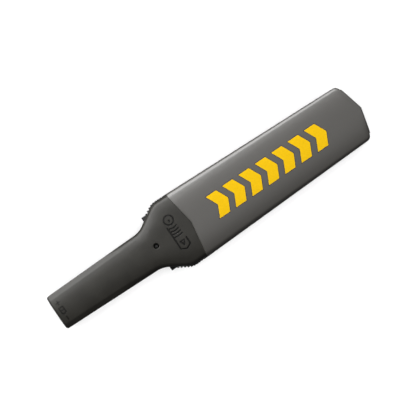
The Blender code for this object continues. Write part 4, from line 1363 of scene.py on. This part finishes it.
@dataclass
class FrontShell:
    """The black front half: body, console, grip teeth, and openings for what shows through it."""

    form: Form
    console_rear: float = -90 * MM
    console_front: float = 22 * MM
    console_inset: float = 5 * MM
    ramp: float = 10 * MM
    tooth_pitch: float = 3.4 * MM
    tooth_notch: float = 0.45 * MM
    teeth_end: float = -31 * MM
    slot_low: float = 14.3 * MM
    slot_high: float = 22.8 * MM
    slot_gap: float = 0.3 * MM

    def rows(self) -> list[list[Vector]]:
        """Rows of the surface from the battery door to the tip.

        Returns:
            The rows.
        """
        form = self.form
        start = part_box("front_shell")[0].x
        last = form.tip_arc()[0][0]
        places = steps(start, -90 * MM, 4 * MM) + steps(-90 * MM, -30 * MM, 1.5 * MM)[1:]
        places += steps(-30 * MM, last, 5 * MM)[1:]
        rows = [form.front_chain(x, x, form.half_width(x)) for x in places]
        return rows + form.tip_rows(Half.FRONT)

    def console(self, shrink: float) -> Piece:
        """The console's block, or the space inside it when drawn in by a wall.

        Args:
            shrink: The wall, or 0 for the block.

        Returns:
            The shape.
        """
        form = self.form
        chains = []
        flat_rear, flat_front = self.console_rear + self.ramp, self.console_front - self.ramp
        top = 18 * MM if shrink else 16 * MM
        places = [(self.console_rear + shrink, 8 * MM), (flat_rear + shrink / 2, 0.0)]
        places += [(x, 0.0) for x in steps(flat_rear + 3 * MM, flat_front - 3 * MM, 3 * MM)]
        places += [(flat_front - shrink / 2, 0.0), (self.console_front - shrink, 8 * MM)]
        radius = 3 * MM - shrink / 2
        for x, rise in places:
            half = form.half_width(x, 0) - self.console_inset - shrink
            low = rise + shrink
            rows = [(half, top)]
            rows += [(half - radius + radius * out, low + radius - radius * down) for out, down in quarter(6)]
            rows += [((half - radius) * (1 - i / 3), low) for i in range(1, 4)]
            right = [Vector((x, y, z)) for y, z in rows]
            chains.append(mirrored(right))
        shape = swept(chains, close=True)
        for loop in (chains[0], chains[-1]):
            ends = [min(shape.verts, key=lambda v, p=point: (v.co - p).length) for point in loop]
            shape.faces.new(ends)
        bmesh.ops.recalc_face_normals(shape, faces=shape.faces)
        return bare("console", shape)

    def tooth_places(self, side: int) -> list[float]:
        """Where the grip's teeth start on one shoulder."""
        first = (-63 if side > 0 else -66.4) * MM
        return [first + i * self.tooth_pitch for i in range(int((self.teeth_end - first) / self.tooth_pitch))]

    def teeth(self, side: int) -> Piece:
        """The stepped grip along one shoulder, just under the parting line.

        Args:
            side: 1 for the +Y shoulder and -1 for the other.

        Returns:
            The grip's strip.
        """
        form, notch = self.form, self.tooth_notch
        places = self.tooth_places(side)
        level, proudest, end = -49 * MM, 0.9 * MM, -30.2 * MM
        outline = []
        for x in places:
            proud = proudest * max(0.0, (level - x) / (level - places[0]))
            y = min(form.half_width(x + self.tooth_pitch / 2) + proud, form.shoulder_half + 0.02 * MM)
            last = x + self.tooth_pitch - notch
            outline += [(x, side * y), (last - notch, side * y), (last, side * (y - notch))]
        side_y = side * form.half_width(end)
        outline += [(outline[-1][0], side_y), (end, side_y)]
        foot = steps(places[0], end, 3 * MM)
        outline += [(x, side * (form.half_width(x) - 2 * MM)) for x in reversed(foot)]
        return raised("teeth", outline, 22.95 * MM, form.parting_z - form.seam / 2 - 0.02 * MM)

    def notches(self, side: int) -> list[Piece]:
        """Cutters for the grip's notches along one shoulder, one behind each tooth.

        Args:
            side: 1 for the +Y shoulder and -1 for the other.

        Returns:
            The cutters.
        """
        wide, deep, clear = 1.1 * MM, 0.95 * MM, 2 * MM
        tools = []
        for x in self.tooth_places(side)[1:]:
            outer = side * (self.form.half_width(x) + clear)
            inner = side * (self.form.half_width(x) - deep)
            outline = rectangle(x - wide, x, outer, inner)
            tools.append(raised("notch", outline, 14.6 * MM, self.form.parting_z + 1 * MM))
        return tools

    @staticmethod
    def mouth(radius: float, ease: float) -> list[Point]:
        """The profile of a cutter for a round hole in the console's floor, with an eased mouth.

        Args:
            radius: The hole's radius.
            ease: The mouth's easing.

        Returns:
            The profile.
        """
        clear, deep = 1 * MM, 5 * MM
        wide = radius + ease
        return [(0, -clear), (wide, -clear), (wide, 0), (radius, ease), (radius, deep), (0, deep)]

    def openings(self) -> list[Piece]:
        """Cutters for the lens holes and the trimmer's port.

        Returns:
            The cutters.
        """
        tools = []
        for node in ("lens_green", "lens_amber", "lens_red"):
            low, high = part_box(node)
            centre = ((low.x + high.x) / 2, (low.y + high.y) / 2, 0)
            radius = (high.x - low.x) / 2 + 0.3 * MM
            tools.append(turned("lens_hole", self.mouth(radius, 0.5 * MM), centre))
        low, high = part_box("trimmer_rotor")
        tools.append(turned("trimmer_port", self.mouth(1.7 * MM, 0.6 * MM), ((low.x + high.x) / 2, 0, 0)))
        return tools

    def grille(self) -> list[Piece]:
        """Cutters for the round-ended slots in front of the speaker.

        Returns:
            The cutters.
        """
        low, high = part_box("speaker_frame")
        centre, reach = (low.x + high.x) / 2, (high.x - low.x) / 2 - 3 * MM
        tools = []
        for i in range(-3, 4):
            offset = i * 4 * MM
            half = math.sqrt(reach**2 - offset**2)
            wide = 0.9 * MM
            arc = [(wide * math.cos(math.pi * k / 8), wide * math.sin(math.pi * k / 8)) for k in range(9)]
            outline = [(centre + offset + x, half - wide + y) for x, y in arc]
            outline += [(centre + offset - x, -(half - wide) - y) for x, y in arc]
            tools.append(raised("slot", outline, -1 * MM, 4.5 * MM))
        return tools

    def side_slots(self) -> list[Piece]:
        """Cutters for the slider's and the button's slots.

        Returns:
            The cutters.
        """
        gap, seat = self.slot_gap, slider_seat(self.form)
        travel, clear, deep = 6 * MM, 2.4 * MM, 4.8 * MM
        start = seat.near - seat.along * gap
        end = seat.far + seat.along * travel + seat.along * gap
        outer, inner = seat.inward * -clear, seat.inward * deep
        outline = [start + outer, end + outer, end + inner, start + inner]
        tools = [raised("slider_slot", [(p.x, p.y) for p in outline], self.slot_low, self.slot_high)]
        low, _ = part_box("push_button")
        near, far = low.x + 1 * MM - gap, BUTTON_END_X + gap
        outline = rectangle(near, far, -44 * MM, -19.4 * MM)
        return [*tools, raised("button_slot", outline, self.slot_low, self.slot_high)]

    def socket_hole(self) -> Piece:
        """Cutter for the audio socket's hole in the console's side.

        Returns:
            The cutter.
        """
        low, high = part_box("audio_socket")
        middle = (low + high) / 2
        radius, ease, deep, clear = 3.3 * MM, 0.5 * MM, 8 * MM, 2 * MM
        wide = radius + ease
        profile = [(0, -deep), (radius, -deep), (radius, -ease), (wide, 0), (wide, clear), (0, clear)]
        return turned("socket_hole", profile, (middle.x, high.y + 0.3 * MM, middle.z), (0, 1, 0))

    def build(self) -> None:
        """Build the shell."""
        shell = self.form.shell("front_shell_moulding", self.rows(), True, 90 * MM, 0.25 * MM, even=False)
        cut(shell, [self.console(0), self.teeth(1), self.teeth(-1)], "UNION")
        tools = [self.console(self.form.wall), *self.openings(), *self.grille()]
        tools += [*self.side_slots(), self.socket_hole()]
        cut(shell, [*tools, *self.notches(1), *self.notches(-1)])
        place(shell, BLACK, "root", ["front_shell"], "black_shell")


@dataclass
class BatteryDoor:
    """The black front half of the handle's end, with its thumb ribs and tongue."""

    form: Form
    ribs: int = 6
    rib_pitch: float = 3 * MM
    rib_width: float = 1.2 * MM

    def tongue(self, end: float) -> list[Piece]:
        """The tongue that slips into the front shell, and its root on the door's floor.

        Args:
            end: Where the door's own wall ends.

        Returns:
            Both shapes, to be joined to the door.
        """
        floor = self.form.bottom(end) + self.form.wall
        back, ahead, wide, narrow = 8 * MM, 6 * MM, 8 * MM, 7 * MM
        tongue = [(end - back, -wide), (end + ahead, -narrow), (end + ahead, narrow), (end - back, wide)]
        root = [(min(x, end - 0.05 * MM), y) for x, y in tongue]
        return [
            raised("tongue", tongue, floor + 0.3 * MM, floor + 2.2 * MM),
            raised("root", root, floor - 0.5 * MM, floor + 1 * MM),
        ]

    def thumb_ribs(self, end: float) -> list[Piece]:
        """The ribs across the door's outer face for the thumb.

        Args:
            end: Where the door's own wall ends.

        Returns:
            The ribs.
        """
        parts = []
        half, height, proud = 9 * MM, 1.4 * MM, 0.5 * MM
        for i in range(self.ribs):
            x = end - 12 * MM - self.rib_pitch * i
            low = self.form.bottom(x) - proud
            outline = rectangle(x, x + self.rib_width, -half, half)
            parts.append(raised("rib", outline, low, low + height, 0.3 * MM))
        return parts

    def build(self) -> None:
        """Build the door."""
        form = self.form
        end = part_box("battery_door")[1].x - 6 * MM
        rows = form.butt_rows(Half.FRONT)
        start = form.butt_x + form.butt_radius
        rows += [form.front_chain(x, x, form.half_width(x)) for x in steps(start, end, 4 * MM)[1:]]
        door = form.shell("battery_door_moulding", rows, False, -180 * MM, 0.25 * MM)
        cut(door, [*self.tongue(end), *self.thumb_ribs(end)], "UNION")
        place(door, BLACK, "door", ["battery_door"], "black_shell")


# ---------------------------------------------------------------------------- controls


@dataclass
class Controls:
    """The power slider and the push button on the shoulders."""

    form: Form
    low: float = 14.6 * MM
    high: float = 22.5 * MM
    lap: float = 0.8 * MM
    grooves: int = 4
    groove_pitch: float = 1.6 * MM
    groove_width: float = 0.8 * MM
    groove_depth: float = 0.45 * MM

    def slider_grooves(self, start: float, face_y: float) -> list[Piece]:
        """Cutters for the grooves across the slider's face.

        Args:
            start: Where the slider starts.
            face_y: Where its face lies.

        Returns:
            The cutters.
        """
        tools = []
        inner, outer = face_y - self.groove_depth, face_y + 1 * MM
        for i in range(self.grooves):
            x = start + 1.5 * MM + self.groove_pitch * i
            face = rectangle(x, x + self.groove_width, inner, outer)
            tools.append(raised("groove", face, self.low - 1 * MM, self.high + 1 * MM))
        return tools

    def slider(self) -> None:
        """The ribbed wedge that slides along the +Y shoulder, with a skirt behind the wall."""
        seat = slider_seat(self.form)
        start, face_y = seat.near.x, seat.far.y
        root = seat.inward * 3.3 * MM
        foot = [seat.far, seat.far + root, seat.near + root, seat.near]
        outline = [(start, face_y)] + [(p.x, p.y) for p in foot]
        knob = raised("power_slider_knob", outline, self.low, self.high, 0.35 * MM)
        behind, thick = seat.inward * 2.95 * MM, seat.inward * 1 * MM
        first = seat.near + behind - seat.along * 2 * MM
        last = seat.far + behind + seat.along * 0.6 * MM
        skirt = [(p.x, p.y) for p in (first, last, last + thick, first + thick)]
        top = self.form.parting_z - 0.6 * MM
        cut(knob, [raised("skirt", skirt, self.low - self.lap, top)], "UNION")
        cut(knob, self.slider_grooves(start, face_y))
        place(knob, CONTROL, "slider", ["power_slider"], "black_control")

    def button(self) -> None:
        """The button on the other shoulder, with a flange behind the wall."""
        low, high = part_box("push_button")
        near = low.x + 1 * MM
        deep = high.y - 1.2 * MM
        back = deep + 0.3 * MM
        outline = rectangle(near, BUTTON_END_X, low.y, back)
        knob = raised("push_button_cap", outline, self.low, self.high, 0.5 * MM)
        flange = rectangle(low.x, high.x, deep, high.y)
        cut(knob, [raised("flange", flange, self.low - self.lap, self.high + self.lap)], "UNION")
        place(knob, CONTROL, "button", ["push_button"], "black_control")

    def build(self) -> None:
        """Build both controls."""
        self.slider()
        self.button()


@dataclass
class NeckScrew:
    """The cross-recessed screw at the bottom of the neck's hole."""

    head_height: float = 1.5 * MM

    def build(self) -> None:
        """Build the screw with a domed head and a thread."""
        low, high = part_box("neck_screw")
        x = (low.x + high.x) / 2
        head = (high.x - low.x) / 2
        seat = high.z - self.head_height
        radius = 1.5 * MM
        profile = [(0, low.z), (radius * 0.5, low.z), (radius * 0.85, low.z + 1 * MM)]
        z = low.z + 1 * MM
        while z < seat - 2 * MM:
            profile += [(radius, z + 0.25 * MM), (radius * 0.8, z + 0.5 * MM)]
            z += 0.5 * MM
        rim = 0.4 * MM
        profile += [(radius, seat), (head, seat), (head, seat + rim)]
        dome = self.head_height - rim
        profile += [(head * out, seat + rim + dome * up) for out, up in quarter(6)[1:]]
        screw = turned("neck_screw_machined", profile, (x, 0, 0), sides=40)
        arm, slot = head * 0.6, 0.4 * MM
        deep = seat + 0.5 * MM
        cross = []
        for wide, tall in ((arm, slot), (slot, arm)):
            outline = rectangle(x - wide, x + wide, -tall, tall)
            cross.append(raised("recess", outline, deep, high.z + 1 * MM))
        cut(screw, cross)
        place(screw, DARK_STEEL, "root", ["neck_screw"], "steel")


@dataclass
class ConsoleFittings:
    """The three lamp lenses and the audio socket on the console."""

    dome: float = 1.3 * MM
    flange: float = 0.5 * MM
    bore: float = 1.75 * MM
    collar: float = 3.0 * MM

    def lens(self, node: str, finish: Lens) -> None:
        """One domed lens with a flange behind it.

        Args:
            node: The CAD node that it stands for.
            finish: Its colour.
        """
        low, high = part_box(node)
        rim = (high.x - low.x) / 2
        radius = rim - self.flange / 2
        profile = [(0, low.z)]
        profile += [(radius * out, low.z + self.dome * (1 - up)) for up, out in quarter(8)[1:]]
        shelf = high.z - self.flange
        profile += [(radius, shelf), (rim, shelf), (rim, high.z), (0, high.z)]
        centre = ((low.x + high.x) / 2, (low.y + high.y) / 2, 0)
        place(turned(f"{node}_dome", profile, centre), finish, "root", [node], node)

    def socket(self) -> None:
        """The socket: a round body, a thin collar in the wall and a bore for the plug."""
        low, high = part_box("audio_socket")
        long, body = high.y - low.y, (high.x - low.x) / 2
        step, ease = long - 3 * MM, 0.25 * MM
        profile = [(0, 0), (body - ease, 0), (body, ease), (body, step), (self.collar, step + ease)]
        profile += [(self.collar, long - ease), (self.collar - ease, long), (self.bore + ease, long)]
        profile += [(self.bore, long - ease), (self.bore, 1.5 * MM), (0, 1.5 * MM)]
        origin = ((low.x + high.x) / 2, low.y, (low.z + high.z) / 2)
        socket = turned("audio_socket_turned", profile, origin, (0, 1, 0))
        place(socket, CONTROL, "root", ["audio_socket"], "inner_black")

    def build(self) -> None:
        """Build the lenses and the socket."""
        for node, finish in (("lens_green", GREEN_LENS), ("lens_amber", AMBER_LENS), ("lens_red", RED_LENS)):
            self.lens(node, finish)
        self.socket()


# ---------------------------------------------------------------------------- inner pieces


INNER_FINISHES: dict[Finish, tuple[str, ...]] = {
    INNER: ("battery_snap", "battery_cradle"),
    STEEL: ("battery_terminal", "board_screw", "former_screw", "motor_bracket"),
    TURNED_STEEL: ("vibration_motor", "speaker_frame", "slide_switch", "tact_switch"),
    MAGNET: ("speaker_magnet",),
    BRASS: ("eccentric_weight", "trimmer_rotor"),
    CAN: ("capacitor",),
    PAPER: ("speaker_cone",),
    BOARD: ("main_board",),
    CHIP: ("microcontroller", "coil_driver", "audio_amplifier"),
    LEVER: ("switch_lever", "coil_connector", "battery_connector"),
    FORMER: ("coil_former",),
    WINDING: ("transmit_coil", "receive_coil"),
    WRAP: ("battery",),
    BLUE: ("trimmer_body",),
    RED_WIRE: ("lead_red",),
    BLACK_WIRE: ("lead_black", "coil_lead"),
    GREEN_LENS: ("lens_green", "lamp_green"),
    AMBER_LENS: ("lens_amber", "lamp_amber"),
    RED_LENS: ("lens_red", "lamp_red"),
}


def finish_for(node: str) -> Finish:
    """The finish whose name in the table is the longest start of the piece's own name."""
    named = {name: finish for finish, names in INNER_FINISHES.items() for name in names}
    longest = max((name for name in named if node.startswith(name)), key=len, default="")
    return named.get(longest, INNER)


def dress_inner_pieces() -> None:
    """Give every inner piece that keeps its design shape a finish of its own."""
    for node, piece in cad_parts.items():
        if piece.hide_render:
            continue
        material = finish_of(finish_for(node))
        for holder in piece.material_slots:
            holder.link = "OBJECT"
            holder.material = material
        LOG.info("%s: %s", node, material.name)


# ---------------------------------------------------------------------------- studio


class Lit(Enum):
    """What a panel's light falls on."""

    ALL = "all"
    WAND = "all_but_floor"
    FLOOR = "floor_only"


@dataclass(frozen=True)
class Panel:
    """A soft panel light that looks at the wand.

    Its bearing is in degrees from +X towards +Y, its height in degrees over the floor, and its
    power in watts.
    """

    name: str
    bearing: float
    height: float
    size: Point
    distance: float
    power: float
    lit: Lit = Lit.ALL
    shadows: bool = True

    def hang(self) -> Piece:
        """Make the light.

        Returns:
            The light, in the scene.
        """
        data = bpy.data.lights.new(self.name, "AREA")
        data.shape = "RECTANGLE"
        data.size, data.size_y = self.size
        data.energy = self.power
        lamp = bpy.data.objects.new(self.name, data)
        turn, rise = math.radians(self.bearing), math.radians(self.height)
        way = Vector((math.cos(turn) * math.cos(rise), math.sin(turn) * math.cos(rise), math.sin(rise)))
        lamp.location = way * self.distance
        lamp.rotation_euler = way.to_track_quat("Z", "Y").to_euler()
        bpy.context.scene.collection.objects.link(lamp)
        return lamp


PANELS = (
    Panel("key", 100, 38, (2.5, 1.9), 1.8, 84, Lit.WAND),
    Panel("side", 100, 7, (2.5, 0.4), 1.8, 12, Lit.WAND),
    Panel("ceiling", 90, 90, (1.4, 1.4), 3.5, 6),
    Panel("floor_shadow", 100, 50, (1.6, 1.6), 1.8, 4, Lit.FLOOR),
    Panel("floor_wash", 0, 90, (4, 4), 1.8, 110, Lit.FLOOR, shadows=False),
)


@dataclass
class Studio:
    """The floor, lights and camera."""

    turn: float = math.radians(-34.0995)
    aim: tuple[float, float, float] = (0.9 * MM, 2.9 * MM, 30 * MM)
    field: float = 476 * MM
    lens: float = 200.0
    world: float = 0.08

    def camera(self) -> None:
        """A long-lens camera straight over the wand, turned in plan."""
        data = bpy.data.cameras.new("camera")
        data.lens = self.lens
        data.sensor_width = 36
        data.clip_end = 20
        camera = bpy.data.objects.new("camera", data)
        distance = self.field * self.lens / data.sensor_width
        camera.location = Vector(self.aim) + Vector((0, 0, distance))
        camera.rotation_euler = (0, 0, self.turn)
        bpy.context.scene.collection.objects.link(camera)
        bpy.context.scene.camera = camera

    def floor(self) -> Piece:
        """A wide pale floor.

        Returns:
            The floor.
        """
        shape = bmesh.new()
        bmesh.ops.create_grid(shape, x_segments=1, y_segments=1, size=6)
        ground = bare("floor", shape)
        material, shader = shader_of("pale_floor")
        shader.inputs["Base Color"].default_value = (0.9, 0.9, 0.9, 1)
        shader.inputs["Roughness"].default_value = 0.9
        shader.inputs["Specular IOR Level"].default_value = 0.1
        ground.data.materials.append(material)
        ground.visible_glossy = False
        ground.visible_diffuse = False
        return ground

    @staticmethod
    def group(name: str, ground: Piece, state: str) -> bpy.types.Collection:
        """A light-linking group that takes in the floor alone, or all but the floor.

        Args:
            name: The group's name.
            ground: The floor.
            state: INCLUDE for the floor alone and EXCLUDE for all but it.

        Returns:
            The group.
        """
        made = bpy.data.collections.new(name)
        made.objects.link(ground)
        made.collection_objects[0].light_linking.link_state = state
        return made

    def build(self) -> None:
        """Set the studio up: the wand's key leaves the floor to softer lights of its own."""
        self.camera()
        ground = self.floor()
        floor_only = self.group(Lit.FLOOR.value, ground, "INCLUDE")
        groups = {Lit.FLOOR: floor_only, Lit.WAND: self.group(Lit.WAND.value, ground, "EXCLUDE")}
        for panel in PANELS:
            lamp = panel.hang()
            if panel.lit in groups:
                lamp.light_linking.receiver_collection = groups[panel.lit]
            if not panel.shadows:
                lamp.light_linking.blocker_collection = floor_only
        world = bpy.data.worlds.new("studio")
        world.use_nodes = True
        world.node_tree.nodes["Background"].inputs["Color"].default_value = (1, 1, 1, 1)
        world.node_tree.nodes["Background"].inputs["Strength"].default_value = self.world
        bpy.context.scene.world = world
        bpy.context.scene.view_settings.view_transform = "Standard"


def main() -> None:
    """Build the wand's looks in order."""
    logging.basicConfig(level=logging.INFO, format="%(message)s")
    Studio().build()
    RearShell(FORM).build()
    PaddleCover(PADDLE_FORM).build()
    FrontShell(FORM).build()
    BatteryDoor(FORM).build()
    Controls(FORM).build()
    NeckScrew().build()
    ConsoleFittings().build()
    dress_inner_pieces()


if __name__ == "__main__":
    main()
